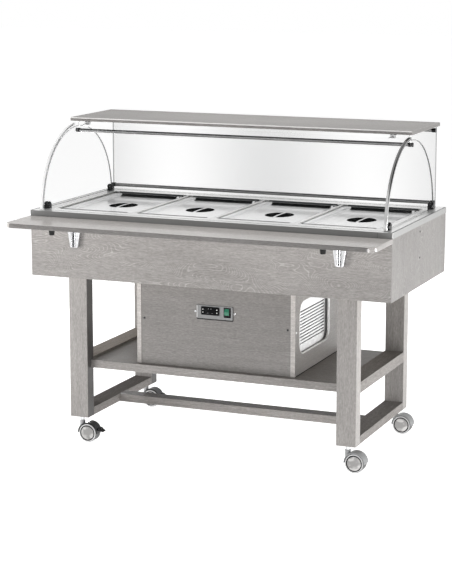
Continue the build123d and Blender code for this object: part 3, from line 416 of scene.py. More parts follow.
# Box sides: tone raised as painted light, and their front edges painted lighter still
WOOD_BOX = wood("veneer_box_sides", "XY", 7.0, 1.25, lines=0.05, painted_front_edge=(-0.1395, 1.25))
PLY = plywood("plywood_floor")

LID_BRUSH = (260.0, 3.0, 260.0)
STEEL = brushed("steel_counter", (0.78, 0.78, 0.77), 0.14, 0.22, fold_shade=(0.7392, 0.3513), metal=0.5)
STEEL_LID = brushed("steel_pressed", grey(0.76), 0.06, 0.10, LID_BRUSH, 0.00001, metal=0.12, level=0.03)
# Painted shade and dark reflection on the lids: half-dark steel beside the rear bands, near-black steel in
# the rear and right bands and in the dish
STEEL_HALF = brushed("steel_half_shade", grey(0.16), 0.2, 0.3, LID_BRUSH, 0.00001, metal=0.12, level=0.03)
STEEL_SHADE = brushed("steel_painted_dark", (0.016, 0.016, 0.017), 0.3, 0.4, 260.0, 0.00003, rim=0.03)
STEEL_DEEP = brushed("steel_tank", (0.55, 0.55, 0.54), 0.24, 0.36, (3.0, 300.0, 300.0))
ZINC = brushed("zinc_sheet", grey(0.84), 0.4, 0.55, 60.0, 0.00006)
TUBE = brushed("tube_satin", grey(0.33), 0.22, 0.32, (4.0, 700.0, 700.0), 0.00005, 0.0004)
# Screen profiles: one part in two copies painted for the light at each end, the left paler, the right darker
# with a painted dark reflection above
PROFILE_LEFT = brushed("edge_profile_left", grey(0.96), 0.12, 0.2, 60.0, 0.00002, 0.0005, metal=0.3)
PROFILE_RIGHT = brushed("edge_profile_right", grey(0.74), 0.07, 0.12, 60.0, 0.00002, 0.0005,
                        dark_reflection_heights=(1.03, 1.11))
BRACKET = brushed("bracket_plate", (0.66, 0.66, 0.67), 0.2, 0.3, 90.0, 0.00003, 0.0010)
CHROME = brushed("chrome_plate", (0.85, 0.85, 0.86), 0.05, 0.09, 90.0, 0.00002, 0.0008)
PALE = brushed("pale_satin", grey(0.88), 0.45, 0.6, 60.0, 0.00003, 0.0005)
ALUMINIUM = brushed("fin_sheet", (0.78, 0.79, 0.80), 0.3, 0.42, (5.0, 400.0, 400.0))
COPPER = brushed("copper_pipe", (0.72, 0.38, 0.25), 0.22, 0.34, 40.0, 0.00004)
DISC = brushed("wheel_disc", (0.62, 0.61, 0.60), 0.26, 0.38, (30.0, 8.0, 160.0), 0.0001, patch=26.0)

# Black plastic, also used as painted shade in the bracket grooves and the screw recesses
BLACK = moulded("plastic_black_and_painted_shade", (0.006, 0.006, 0.007), 0.14, 0.24, gloss=0.25)
BLACK_GLOSS = moulded("plastic_display", (0.004, 0.004, 0.005), 0.08, 0.14, 500.0, 0.00001, gloss=0.05)
# Black rubber, also used as painted shadow behind the control plate and under the box sides
BLACK_RUBBER_AND_SHADE = moulded("rubber_black_and_painted_shade", grey(0.016), 0.55, 0.7, 1200.0, 0.00012, gloss=0.2)
KEY = moulded("key_rubber", (0.006, 0.006, 0.007), 0.45, 0.6, 1500.0, 0.00005, gloss=0.06)
GREY = moulded("plastic_grey", (0.35, 0.355, 0.36), 0.34, 0.46)
HOOD_FRONT = moulded("plastic_hood_front", (0.030, 0.030, 0.032), 0.24, 0.34, gloss=0.35,
                     neck=(-LEG_X, CASTOR_Y["front"]))
HOOD_REAR = moulded("plastic_hood_rear", (0.045, 0.046, 0.048), 0.28, 0.38, gloss=0.3,
                    neck=(-LEG_X, CASTOR_Y["rear"]))
# Dark plastic, also used as painted shade for the counter's shadow lines and the vent's louvres
DARK_GREY = moulded("plastic_dark_and_painted_shade", (0.045, 0.046, 0.048), 0.34, 0.46, gloss=0.3)
LINER_SHADE = moulded("liner_shade", grey(0.11), 0.34, 0.46, gloss=0.3)
# Pale plastic of the wheel rims, also used as a painted highlight on the control plate's left edge
RIM = moulded("plastic_rim_and_painted_highlight", grey(0.60), 0.3, 0.42)
TREAD = moulded("rubber_grey", grey(0.22), 0.5, 0.62, 1200.0, 0.0001, gloss=0.3)
PLATE = moulded("plate_grey", (0.225, 0.226, 0.228), 0.36, 0.5, 700.0, 0.0001, edge_radius=0.0016)
PAINT = moulded("paint_black", (0.02, 0.02, 0.021), 0.22, 0.34, 180.0, 0.00006, 0.4)
GREEN = moulded("lens_green", (0.012, 0.155, 0.085), 0.14, 0.24, 300.0, 0.00003, 0.5)
MARK = moulded("mark_white", (0.82, 0.82, 0.80), 0.4, 0.5, 2000.0, 0.00002)
FAINT_MARK = moulded("mark_grey", (0.16, 0.16, 0.17), 0.4, 0.5, 2000.0, 0.00002)
FOAM = moulded("foam_insulation", (0.72, 0.66, 0.50), 0.75, 0.9, 220.0, 0.0009)

CLEAR = clear("acrylic_face", (0.14, 0.15, 0.15), 0.022, 0.02)
# Back sheet: its opacity swings along X as a painted glow
CLEAR_BACK = clear("acrylic_back", (0.14, 0.15, 0.15), 0.15, 0.02, 0.85)
CLEAR_EDGE = clear("acrylic_edge", (0.12, 0.125, 0.125), 0.90, 0.10)
CLEAR_RIM = clear("acrylic_rim", (0.10, 0.105, 0.105), 0.40, 0.10)

FINISH = {
    "legs": WOOD_Z, "end_rails": WOOD_Y, "stretcher": WOOD_X, "lower_shelf": WOOD_SHELF,
    "body_panels": WOOD_BODY, "body_floor": PLY, "counter_top": STEEL, "well_tank": STEEL_DEEP,
    "well_insulation": FOAM, "pan_bars": STEEL, "box_front_panel": WOOD_FRONT, "box_panels": WOOD_BOX,
    "vent_grille": ZINC, "control_plate": PLATE, "controller": BLACK_GLOSS, "switch_frame": BLACK,
    "rocker": GREEN, "compressor": PAINT, "condenser": ALUMINIUM, "fan_shroud": PAINT,
    "fan_blade": ALUMINIUM, "refrigerant_pipes": COPPER, "cable_gland": BLACK, "top_board": WOOD_TOP,
    "hood_tubes": TUBE, "hood_fittings": BLACK, "board_posts": PALE, "hinge_leaves": PALE,
    "screen_leaves": PALE, "tray_brackets": BRACKET, "tray_board": WOOD_TRAY, "tray_arms": CHROME,
    "tray_buffers": BLACK_RUBBER_AND_SHADE, "castor_front_left": HOOD_FRONT, "castor_front_right": GREY,
    "castor_rear_left": HOOD_REAR, "castor_rear_right": GREY, "brake_front_left": BLACK,
    "brake_rear_left": BLACK, "castor_stems": ALUMINIUM,
}
for number in range(1, 5):
    FINISH[f"pan_{number}"] = STEEL_DEEP
    FINISH[f"key_{number}"] = KEY
for name, mat in FINISH.items():
    nodes[name].data.materials.clear()
    nodes[name].data.materials.append(mat)


# Forms

WELD = 1e-6
BOX_QUADS = ((0, 1, 3, 2), (4, 6, 7, 5), (0, 4, 5, 1), (2, 3, 7, 6), (0, 2, 6, 4), (1, 5, 7, 3))


class Form:
    """Collects the points and faces of one piece, and the material of each face."""

    def __init__(self):
        self.verts = []
        self.faces = []
        self.picks = []

    def loft(self, rings, picks=None, start=False, end=False, around=False):
        """Joins closed rings of equal length; around also joins the last ring to the first."""
        base = len(self.verts)
        count = len(rings[0])
        for ring in rings:
            self.verts.extend(ring)
        bands = len(rings) if around else len(rings) - 1
        picks = picks or [0] * bands
        for band in range(bands):
            low = base + band * count
            high = base + (band + 1) % len(rings) * count
            for i in range(count):
                j = (i + 1) % count
                self.faces.append((low + i, low + j, high + j, high + i))
                self.picks.append(picks[band])
        if start:
            self.fan(base, count, picks[0])
        if end:
            self.fan(base + (len(rings) - 1) * count, count, picks[-1])

    def fan(self, first, count, pick):
        """Closes a ring with triangles about its middle."""
        self.verts.append(sum((Vector(v) for v in self.verts[first:first + count]), Vector()) / count)
        hub = len(self.verts) - 1
        for i in range(count):
            self.faces.append((first + i, first + (i + 1) % count, hub))
            self.picks.append(pick)

    def sweep(self, rings, pick, ends):
        """Joins rings and closes each end with one face; pick(band, side) gives the material of a side."""
        base = len(self.verts)
        count = len(rings[0])
        first = len(self.picks)
        self.loft(rings)
        self.picks[first:] = [pick(band, side) for band in range(len(rings) - 1) for side in range(count)]
        last = base + (len(rings) - 1) * count
        self.faces += [tuple(range(base, base + count)), tuple(range(last, last + count))]
        self.picks += ends

    def box(self, low, high):
        base = len(self.verts)
        self.verts += [(x, y, z) for x in (low[0], high[0]) for y in (low[1], high[1])
                       for z in (low[2], high[2])]
        for quad in BOX_QUADS:
            self.faces.append(tuple(base + k for k in quad))
            self.picks.append(0)

    def middle(self, face):
        return sum((Vector(self.verts[i]) for i in face), Vector()) / len(face)

    def piece(self, name, body, slot, mats, stands_for=(), sharp=40.0):
        """Makes the piece; stands_for names the solids it hides, and sharp is the angle of a hard edge."""
        mesh = bpy.data.meshes.new(name)
        mesh.from_pydata([tuple(v) for v in self.verts], [], self.faces)
        for mat in mats:
            mesh.materials.append(mat)
        for polygon, pick in zip(mesh.polygons, self.picks):
            polygon.material_index = pick
        shape = bmesh.new()
        shape.from_mesh(mesh)
        bmesh.ops.remove_doubles(shape, verts=shape.verts, dist=WELD)
        bmesh.ops.recalc_face_normals(shape, faces=shape.faces)
        shape.to_mesh(mesh)
        shape.free()
        mesh.polygons.foreach_set("use_smooth", [True] * len(mesh.polygons))
        mesh.set_sharp_from_angle(angle=math.radians(sharp))
        piece = bpy.data.objects.new(name, mesh)
        scene.collection.objects.link(piece)
        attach(piece, body)
        if stands_for:
            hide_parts(*stands_for)


def rounded(half_u, half_v, corner, steps=6):
    """Points of a rounded rectangle about the origin, counterclockwise."""
    points = []
    for quarter, (su, sv) in enumerate(((1, 1), (-1, 1), (-1, -1), (1, -1))):
        for step in range(steps + 1):
            angle = math.pi / 2 * (quarter + step / steps)
            points.append((su * (half_u - corner) + corner * math.cos(angle),
                           sv * (half_v - corner) + corner * math.sin(angle)))
    return points


def circle(radius, count):
    return [(radius * math.cos(2 * math.pi * i / count), radius * math.sin(2 * math.pi * i / count))
            for i in range(count)]


def placed(outline, x, z):
    return [(x + u, z + v) for u, v in outline]


def turned(profile, centre, axis, count):
    """Rings of a turned form: profile holds (radius, way along the axis)."""
    axis = Vector(axis).normalized()
    side = axis.orthogonal().normalized()
    other = axis.cross(side)
    return [[Vector(centre) + axis * along + side * u + other * v for u, v in circle(radius, count)]
            for radius, along in profile]


def arc_point(radius, angle):
    """Y and Z of a point of the hood's arc; the angle starts at the counter's front."""
    return ARCH_Y - radius * math.cos(angle), COUNTER_TOP + radius * math.sin(angle)


# Front screen: a curved sheet with greyer sawn ends, and a profile on each end, painted paler on the left and
# darker on the right, with a painted dark reflection on the right one's upper part
SCREEN_INNER = 0.309
SCREEN_OUTER = 0.314
SCREEN_HALF = 0.7085
SCREEN_FOOT = 0.0005
SCREEN_TOP = 0.026
SCREEN_STEPS = 56
SCREEN_SECTION = ((-SCREEN_HALF, SCREEN_OUTER), (SCREEN_HALF, SCREEN_OUTER),
                  (SCREEN_HALF, SCREEN_INNER), (-SCREEN_HALF, SCREEN_INNER))
PROFILE_INSET = 0.004
PROFILE_SECTION = ((0.6980, 0.31405), (0.6980, 0.3150), (0.6988, 0.3154), (0.7092, 0.3154), (0.7100, 0.3146),
                   (0.7100, 0.3085), (0.7092, 0.3077), (0.7000, 0.3077), (0.7000, 0.3089), (0.7086, 0.3089),
                   (0.7086, 0.31405))
foot_angle = math.asin(SCREEN_FOOT / SCREEN_INNER)
top_angle = math.acos(SCREEN_TOP / SCREEN_OUTER)


def screen_rings(section, side, inset):
    """Rings of a section (x, radius) swept along the screen's arc, short of its ends by an angle."""
    rings = []
    for step in range(SCREEN_STEPS + 1):
        angle = foot_angle + inset + (top_angle - foot_angle - 2 * inset) * step / SCREEN_STEPS
        rings.append([(side * x, *arc_point(radius, angle)) for x, radius in section])
    return rings


screen = Form()
screen.sweep(screen_rings(SCREEN_SECTION, 1, 0.0), lambda band, side: side % 2, [1, 0])
screen.piece("clear_front_screen", "screen", "clear_sheet", [CLEAR, CLEAR_EDGE], ["front_screen"], sharp=30.0)
for side, word in SIDES:
    strip = Form()
    strip.sweep(screen_rings(PROFILE_SECTION, side, PROFILE_INSET), lambda band, side: 0, [0, 0])
    finish = PROFILE_RIGHT if side > 0 else PROFILE_LEFT
    strip.piece(f"screen_profile_{word}", "screen", "chrome", [finish], sharp=30.0)

# Hood ends: arched sheets with a hole for the tie tube, a greyer rim and sawn edges
ARCH_FOOT = 0.003
ARCH_STEPS = 72
TUBE_Z = 1.209
TUBE_HOLE = 0.0072
HOLE_STEPS = 24
RIM_WIDTH = 0.0032
RIM_REACH = 0.9 * RIM_WIDTH
FLAT_FACING = 0.5


def arch_outline(inset):
    """Points of the arch's outline, moved inwards."""
    radius = ARCH_RADIUS - inset
    start = math.asin((ARCH_FOOT + inset) / radius)
    return [arc_point(radius, start + (math.pi - 2 * start) * i / ARCH_STEPS) for i in range(ARCH_STEPS + 1)]


for side, word in SIDES:
    shape = bmesh.new()
    tube_hole = placed(circle(TUBE_HOLE, HOLE_STEPS), ARCH_Y, TUBE_Z)
    rim, inner, hole = [[shape.verts.new((side * ARCH_X - SHEET / 2, y, z)) for y, z in outline]
                        for outline in (arch_outline(0.0), arch_outline(RIM_WIDTH), tube_hole)]
    loops = [shape.edges.new((ring[i], ring[(i + 1) % len(ring)]))
             for ring in (inner, hole) for i in range(len(ring))]
    bmesh.ops.triangle_fill(shape, use_beauty=True, use_dissolve=False, edges=loops)
    for i in range(len(rim)):
        j = (i + 1) % len(rim)
        shape.faces.new((rim[i], rim[j], inner[j], inner[i]))
    swept = bmesh.ops.extrude_face_region(shape, geom=list(shape.faces), use_keep_orig=True)["geom"]
    moved = [v for v in swept if isinstance(v, bmesh.types.BMVert)]
    bmesh.ops.translate(shape, vec=(SHEET, 0, 0), verts=moved)
    bmesh.ops.recalc_face_normals(shape, faces=shape.faces)
    shape.verts.index_update()
    arch = Form()
    arch.verts = [v.co.copy() for v in shape.verts]
    arch.faces = [tuple(v.index for v in face.verts) for face in shape.faces]
    for face in shape.faces:
        middle = face.calc_center_median()
        reach = math.hypot(middle.y - ARCH_Y, middle.z - COUNTER_TOP)
        on_rim = reach > ARCH_RADIUS - RIM_REACH
        # On the left end the rim also runs along the foot, as painted shade of the gap under it
        on_rim = on_rim or side < 0 and middle.z < COUNTER_TOP + ARCH_FOOT + RIM_REACH
        arch.picks.append((2 if on_rim else 0) if abs(face.normal.x) > FLAT_FACING else 1)
    shape.free()
    arch.piece(f"clear_end_{word}", "trolley", "clear_sheet", [CLEAR, CLEAR_EDGE, CLEAR_RIM],
               ["end_panels"] if side < 0 else (), sharp=30.0)

# Hood back: a flat sheet with the same rim and edges
BACK_SECTION = ((0.4205, 0.926), (0.4205, 1.249), (0.4255, 1.249), (0.4255, 0.926))
BACK_HALF = 0.705
BACK_BANDS = (-BACK_HALF, -BACK_HALF + RIM_WIDTH, BACK_HALF - RIM_WIDTH, BACK_HALF)
back = Form()
back.sweep([[(x, y, z) for y, z in BACK_SECTION] for x in BACK_BANDS],
           lambda band, side: 1 if side % 2 else 2 if band != 1 else 0, [1, 1])
back.piece("clear_back", "trolley", "clear_sheet", [CLEAR_BACK, CLEAR_EDGE, CLEAR_RIM], ["back_panel"])

# Lids: flat brim, sunken field with rounded slopes, oval hand dish and a strap across it; the dish and bands
# on the rear and right slopes are painted dark as painted reflection
BRIM = (0.1605, 0.263)
BRIM_TOP = 0.9193
FIELD_TOP = 0.9108
LID_SHEET = 0.0012
LID_CORNER = 0.024
LID_CORNER_STEPS = 11
SLOPE = ((0.0, 0.0), (0.0138, 0.0), (0.0148, 0.0), (0.0158, -0.0003), (0.0168, -0.0013), (0.0187, -0.0040),
         (0.0210, -0.0072), (0.0220, -0.0081), (0.0232, -0.0085), (0.0250, -0.0085), (0.0280, -0.0085),
         (0.0440, -0.0085))
DISH = ((0.0620, 0.0), (0.0585, 0.0), (0.0572, 0.0001), (0.0560, 0.0008), (0.0550, 0.0022), (0.0520, 0.0066),
        (0.0470, 0.0112), (0.0400, 0.0148), (0.0300, 0.0172), (0.0180, 0.0184), (0.0080, 0.0188))
DISH_STRETCH = 1.16
DISH_LIP = 3  # rings of the dish that are as bright as the field
SHADED_HALF = 0.127  # half width of the shaded rear bands
REAR_DARK = (0.0150, 0.0270)  # distances from the rear edge
REAR_HALF_DARK = (0.004, 0.044)
RIGHT_DARK = (0.138, 0.1470)  # distances from the middle
ABOVE_FIELD = 0.00001
STRAP_STEPS = 12
STRAP_REACH = 0.0655
STRAP_RISE = 0.0016
STRAP_HALF = (0.0042, 0.0012)
STRAP_CORNER = 0.0009


def lid_rings(centre_x, drop):
    """The lid's surface from the brim's edge to the middle of the dish, drop below its top."""
    rings = []
    for inset, sink in SLOPE:
        rings.append([(centre_x + u, MIDDLE_Y + v, BRIM_TOP + sink - drop)
                      for u, v in rounded(BRIM[0] - inset, BRIM[1] - inset, LID_CORNER, LID_CORNER_STEPS)])
    outline = rounded(BRIM[0], BRIM[1], LID_CORNER, LID_CORNER_STEPS)
    quarter = len(outline) // 4
    first, second = [math.atan2(v, u) for u, v in (outline[0], outline[quarter])]
    way = math.copysign(1.0, math.sin(second - first))
    corner = math.atan2(math.copysign(1.0, outline[0][1]), math.copysign(1.0, outline[0][0]))
    turn = [corner + way * (i - (quarter - 1) / 2) * math.pi / (2 * quarter) for i in range(len(outline))]
    for radius, sink in DISH:
        rings.append([(centre_x + radius * math.cos(t), MIDDLE_Y + DISH_STRETCH * radius * math.sin(t),
                       FIELD_TOP - sink - drop) for t in turn])
    return rings


for number, centre_x in enumerate(PAN_ROW, start=1):
    lid = Form()
    upper = lid_rings(centre_x, 0.0)
    under = lid_rings(centre_x, LID_SHEET)
    bowl = len(upper) - len(DISH) + DISH_LIP
    # The dish below its lip is painted near-black, as painted dark reflection
    lid.loft(upper, [1 if band >= bowl else 0 for band in range(len(upper) - 1)], end=True)
    # Painted dark reflection and shade: near-black bands on the rear slope and along the right slope,
    # half-dark steel round the rear band
    for index, face in enumerate(lid.faces):
        middle = lid.middle(face)
        rear = MIDDLE_Y + BRIM[1] - middle.y if abs(middle.x - centre_x) < SHADED_HALF else 1.0
        right = centre_x + RIGHT_DARK[0] < middle.x < centre_x + RIGHT_DARK[1]
        if REAR_DARK[0] < rear < REAR_DARK[1] or right and middle.z > FIELD_TOP + ABOVE_FIELD:
            lid.picks[index] = 1
        elif REAR_HALF_DARK[0] < rear < REAR_HALF_DARK[1]:
            lid.picks[index] = 2
    lid.loft(under, end=True)
    lid.loft([upper[0], under[0]])
    lid.piece(f"pressed_lid_{number}", f"lid_{number}", "stainless", [STEEL_LID, STEEL_SHADE, STEEL_HALF],
              [f"lid_{number}"], sharp=50.0)
    strap = Form()
    rings = []
    for step in range(STRAP_STEPS + 1):
        along = -1.0 + step / (STRAP_STEPS / 2)
        rise = STRAP_RISE * (1.0 - along * along)
        rings.append([(centre_x + u, MIDDLE_Y + along * STRAP_REACH, FIELD_TOP - STRAP_HALF[1] + rise + v)
                      for u, v in rounded(*STRAP_HALF, STRAP_CORNER, 3)])
    strap.loft(rings, start=True, end=True)
    strap.piece(f"lid_strap_{number}", f"lid_{number}", "stainless", [STEEL_LID])

# Counter: painted shadow lines where the side folds meet the top and along the well, and a dark line at the
# joint in the front fold
FOLD_X = 0.7362
FOLD_HALF = 0.0024
WELL_HALF = 0.146
joint_and_shadow_lines = Form()
for side, word in SIDES:
    joint_and_shadow_lines.box((side * FOLD_X - FOLD_HALF, -0.2425, 0.9258), (side * FOLD_X + FOLD_HALF, 0.4575, 0.92615))
joint_and_shadow_lines.box((0.6822, -0.24465, 0.9055), (0.6832, -0.2442, 0.9245))
for centre_x in PAN_ROW:
    for low, high in (((-0.1610, 0.9258), (-0.1600, 0.9273)), ((0.3727, 0.9165), (0.3733, 0.9256))):
        joint_and_shadow_lines.box((centre_x - WELL_HALF, *low), (centre_x + WELL_HALF, *high))
joint_and_shadow_lines.piece("counter_joint_and_shadow_lines", "trolley", "stainless", [DARK_GREY])

# Box: painted shadow lines where its sides stand on the shelf
BOX_SIDE_X = 0.3312
SHADOW_HALF = 0.0012
feet = Form()
for side, word in SIDES:
    feet.box((side * BOX_SIDE_X - SHADOW_HALF, -0.1405, 0.3309), (side * BOX_SIDE_X + SHADOW_HALF, 0.3965, 0.3328))
feet.piece("box_foot_shadow_lines", "trolley", "black_plastic", [BLACK_RUBBER_AND_SHADE])

# Tray brackets: painted shade lines in the groove behind each arm
BRACKET_X = 0.543
GROOVE_SHADE_SPANS = ((-0.0076, -0.0052), (-0.0012, 0.0022))
groove_shade = Form()
for side, word in SIDES:
    for low, high in GROOVE_SHADE_SPANS:
        groove_shade.box((side * BRACKET_X + low, -0.2462, 0.7915), (side * BRACKET_X + high, -0.2454, 0.868))
groove_shade.piece("bracket_groove_shade", "trolley", "black_plastic", [BLACK])

# Twin wheels: grey tread, pale rim, dark groove and domed disc; each point has the material that follows it
WHEEL_RADIUS = 0.0375
WHEEL_TRAIL = 0.032
WHEEL_STEPS = 64
WHEEL_PROFILE = (
    ((0.0050, 0.0052), 3), ((0.0290, 0.0052), 3), ((0.0318, 0.0058), 0), ((0.0352, 0.0066), 0),
    ((0.0368, 0.0082), 0), ((0.0375, 0.0110), 0), ((0.0375, 0.0178), 0), ((0.0372, 0.0200), 2),
    ((0.0362, 0.0214), 1), ((0.0352, 0.0225), 1), ((0.0338, 0.0232), 1), ((0.0322, 0.0234), 1),
    ((0.0314, 0.0229), 2), ((0.0311, 0.0204), 2), ((0.0279, 0.0204), 2), ((0.0275, 0.0222), 3),
    ((0.0268, 0.0231), 3), ((0.0230, 0.0238), 3), ((0.0160, 0.0243), 3), ((0.0080, 0.0245), 3),
    ((0.0010, 0.0245), 3))
for end in ("front", "rear"):
    for side, word in SIDES:
        wheels = Form()
        centre = (side * LEG_X + WHEEL_TRAIL, CASTOR_Y[end], WHEEL_RADIUS)
        for face in (-1, 1):
            wheels.loft(turned([at for at, pick in WHEEL_PROFILE], centre, (0, face, 0), WHEEL_STEPS),
                        [pick for at, pick in WHEEL_PROFILE][:-1], end=True, start=True)
        wheels.piece(f"twin_wheels_{end}_{word}", f"wheels_{end}_{word}", "wheel_plastic",
                     [TREAD, RIM, BLACK, DISC], [f"wheels_{end}_{word}"], sharp=35.0)

# Controls: painted shadow round the plate, widest below it, a painted highlight along its left edge, switch
# bezel, display glass with its marks, key symbols
DISPLAY_X = -0.018
CONTROL_Z = 0.561
PLATE_FACE = -0.1434
DISPLAY_BACK = -0.1475
DISPLAY_FACE = DISPLAY_BACK - 0.0006
KEY_FACE = -0.1482
SYMBOL_HALF = 0.0001


def flat_piece(name, body, slot, mat, outlines, back, front, round_off):
    """A piece of flat shapes that stand out towards the front, with rounded rims."""
    form = Form()
    for outline in outlines:
        middle_u = sum(u for u, v in outline) / len(outline)
        middle_v = sum(v for u, v in outline) / len(outline)
        reach = max(math.hypot(u - middle_u, v - middle_v) for u, v in outline)
        rings = []
        for y, inset in ((back, 0.0), (front + round_off, 0.0), (front + 0.3 * round_off, 0.35 * round_off),
                         (front, round_off)):
            scale = 1.0 - inset / reach
            rings.append([(middle_u + (u - middle_u) * scale, y, middle_v + (v - middle_v) * scale)
                          for u, v in outline])
        form.loft(rings, start=True, end=True)
    form.piece(name, body, slot, [mat])


# Painted shadow: a dark slab behind the plate, showing round it and widest below it
flat_piece("plate_shadow", "trolley", "black_plastic", BLACK_RUBBER_AND_SHADE,
           [placed(rounded(0.0757, 0.0286, 0.002), 0.0005, 0.5540)], -0.1416, -0.1428, 0.0003)
bezel = Form()
wide = placed(rounded(0.0146, 0.0196, 0.001), 0.0527, 0.5587)
close = placed(rounded(0.0122, 0.0157, 0.001), 0.0510, CONTROL_Z)
bezel.loft([[(u, y, v) for u, v in outline]
            for outline, y in ((wide, PLATE_FACE), (wide, -0.1439), (close, -0.1442), (close, PLATE_FACE))],
           around=True)
bezel.piece("switch_bezel", "trolley", "black_plastic", [BLACK_GLOSS])
# Painted highlight: a pale strip along the plate's left edge
flat_piece("plate_left_highlight", "trolley", "plate_grey", RIM,
           [placed(rounded(0.0014, 0.0235, 0.0006), -0.0733, 0.556)], PLATE_FACE, -0.1438, 0.0001)
flat_piece("display_glass", "trolley", "black_plastic", BLACK_GLOSS,
           [placed(rounded(0.0205, 0.0112, 0.0018), DISPLAY_X, CONTROL_Z)],
           DISPLAY_BACK, DISPLAY_FACE, 0.0003)
flat_piece("display_lamps", "trolley", "black_plastic", MARK,
           [placed(circle(0.0011, 16), DISPLAY_X + shift, CONTROL_Z + 0.0085) for shift in (-0.0065, 0.0045)],
           DISPLAY_FACE, DISPLAY_BACK - 0.0010, 0.0003)
flat_piece("display_dashes", "trolley", "black_plastic", FAINT_MARK,
           [placed(rounded(0.0032, 0.0006, 0.0005, 3), DISPLAY_X + shift, CONTROL_Z - 0.0086)
            for shift in (-0.0095, 0.0095)],
           DISPLAY_FACE, DISPLAY_BACK - 0.0008, 0.0001)
TRIANGLE = [(0.0, 0.0026), (-0.0026, -0.0018), (0.0026, -0.0018)]
SYMBOLS = ((1, -0.029, 0.006, TRIANGLE), (2, -0.029, -0.006, [(u, -v) for u, v in TRIANGLE][::-1]),
           (3, 0.029, 0.006, rounded(0.0021, 0.0021, 0.0004, 3)), (4, 0.029, -0.006, circle(0.0022, 20)))
for number, shift_x, shift_z, outline in SYMBOLS:
    flat_piece(f"key_symbol_{number}", f"key_{number}", "key_plastic", MARK,
               [placed(outline, DISPLAY_X + shift_x, CONTROL_Z + shift_z)],
               KEY_FACE + SYMBOL_HALF, KEY_FACE - SYMBOL_HALF, 0.00008)

# Vent: metal liner round the cut-out and pressed louvre lips behind the slots of the grille, the lips painted
# dark as the shade inside the slots
VENT_Y = 0.0765
VENT_Z = 0.508
VENT_HALF = (0.170, 0.1035)
VENT_CORNER = 0.045
LINER = ((0.0001, 0.3125, 0), (0.0001, 0.3303, 0), (0.0004, 0.3306, 0), (0.0012, 0.3306, 0),
         (0.0015, 0.3303, 0), (0.0015, 0.3222, 1), (0.0015, 0.3125, 0))  # inset, x and material
liner = Form()
liner.loft([[(x, VENT_Y + u, VENT_Z + v)
             for u, v in rounded(VENT_HALF[0] - inset, VENT_HALF[1] - inset, VENT_CORNER - inset, 12)]
            for inset, x, pick in LINER], [pick for inset, x, pick in LINER], around=True)
liner.piece("vent_liner", "trolley", "grille", [PALE, LINER_SHADE])
LOUVRE_COUNT = 11
LOUVRE_PITCH = 0.0125
LOUVRE_MIDDLE = 0.500
LOUVRE_HALF = 0.155
GRILLE_X = 0.3101
LOUVRE_SECTION = ((GRILLE_X, 0.0026), (0.3092, 0.0025), (0.3078, 0.0018), (0.3068, 0.0006), (0.3062, -0.0012),
                  (0.3069, -0.0014), (0.3075, 0.0002), (0.3083, 0.0012), (0.3094, 0.0018), (GRILLE_X, 0.0018))
LOUVRE_ENDS = ((0.0, 0.1), (0.002, 0.62), (0.006, 1.0))  # distance from the end, and share of the depth
LOUVRE_STATIONS = [(-LOUVRE_HALF + inset, depth) for inset, depth in LOUVRE_ENDS]
LOUVRE_STATIONS += [(LOUVRE_HALF - inset, depth) for inset, depth in reversed(LOUVRE_ENDS)]
louvres = Form()
for index in range(LOUVRE_COUNT):
    z = LOUVRE_MIDDLE + (index - (LOUVRE_COUNT - 1) / 2) * LOUVRE_PITCH
    louvres.loft([[(GRILLE_X + (x - GRILLE_X) * depth, VENT_Y + y, z + v) for x, v in LOUVRE_SECTION]
                  for y, depth in LOUVRE_STATIONS], start=True, end=True)
# Painted shade: the lips are dark so the slots read as shaded
louvres.piece("vent_louvres", "trolley", "grille", [DARK_GREY])

# Screws: domed heads with a black cross, painted shade standing for the cross recess
SCREW_FINISHES = [CHROME, BLACK, DARK_GREY, PALE]
BRIGHT_HEAD, RECESS_SHADE, DARK_HEAD, PALE_HEAD = range(4)
BOX_FACE = -0.1405
SCREWS = [((x, BOX_FACE, 0.556), (0, -1, 0), BRIGHT_HEAD) for x in (-0.082, 0.082)]
SCREWS += [((x, BOX_FACE, 0.511), (0, -1, 0), DARK_HEAD) for x in (-0.299, 0.299)]
SCREWS += [((side * 0.738, MIDDLE_Y, z), (side, 0, 0), DARK_HEAD) for side in (-1, 1) for z in (0.880, 0.780)]
SCREWS += [((side * 0.330, y, z), (side, 0, 0), PALE_HEAD)
           for side in (-1, 1) for y, z in ((-0.128, 0.50), (0.385, 0.52))]
HEAD = ((0.0045, 0.0), (0.0045, 0.0004), (0.0042, 0.0008), (0.0032, 0.0013), (0.0018, 0.00158),
        (0.0002, 0.0016))
HEAD_STEPS = 24
RECESS_HALF = (0.0021, 0.0003)
RECESS_DEPTHS = (0.0009, 0.00163)
screws = Form()
for place, axis, finish in SCREWS:
    screws.loft(turned(HEAD, place, axis, HEAD_STEPS), [finish] * (len(HEAD) - 1), start=True, end=True)
    axis = Vector(axis)
    side = axis.orthogonal().normalized()
    for arm in (side, axis.cross(side)):
        other = axis.cross(arm)
        corners = [arm * (u * RECESS_HALF[0]) + other * (v * RECESS_HALF[1])
                   for u, v in ((-1, -1), (1, -1), (1, 1), (-1, 1))]
        rings = [[Vector(place) + axis * along + corner for corner in corners] for along in RECESS_DEPTHS]
        screws.sweep(rings, lambda band, side: RECESS_SHADE, [RECESS_SHADE, RECESS_SHADE])
screws.piece("screw_heads", "trolley", "chrome", SCREW_FINISHES, ["panel_screws"])

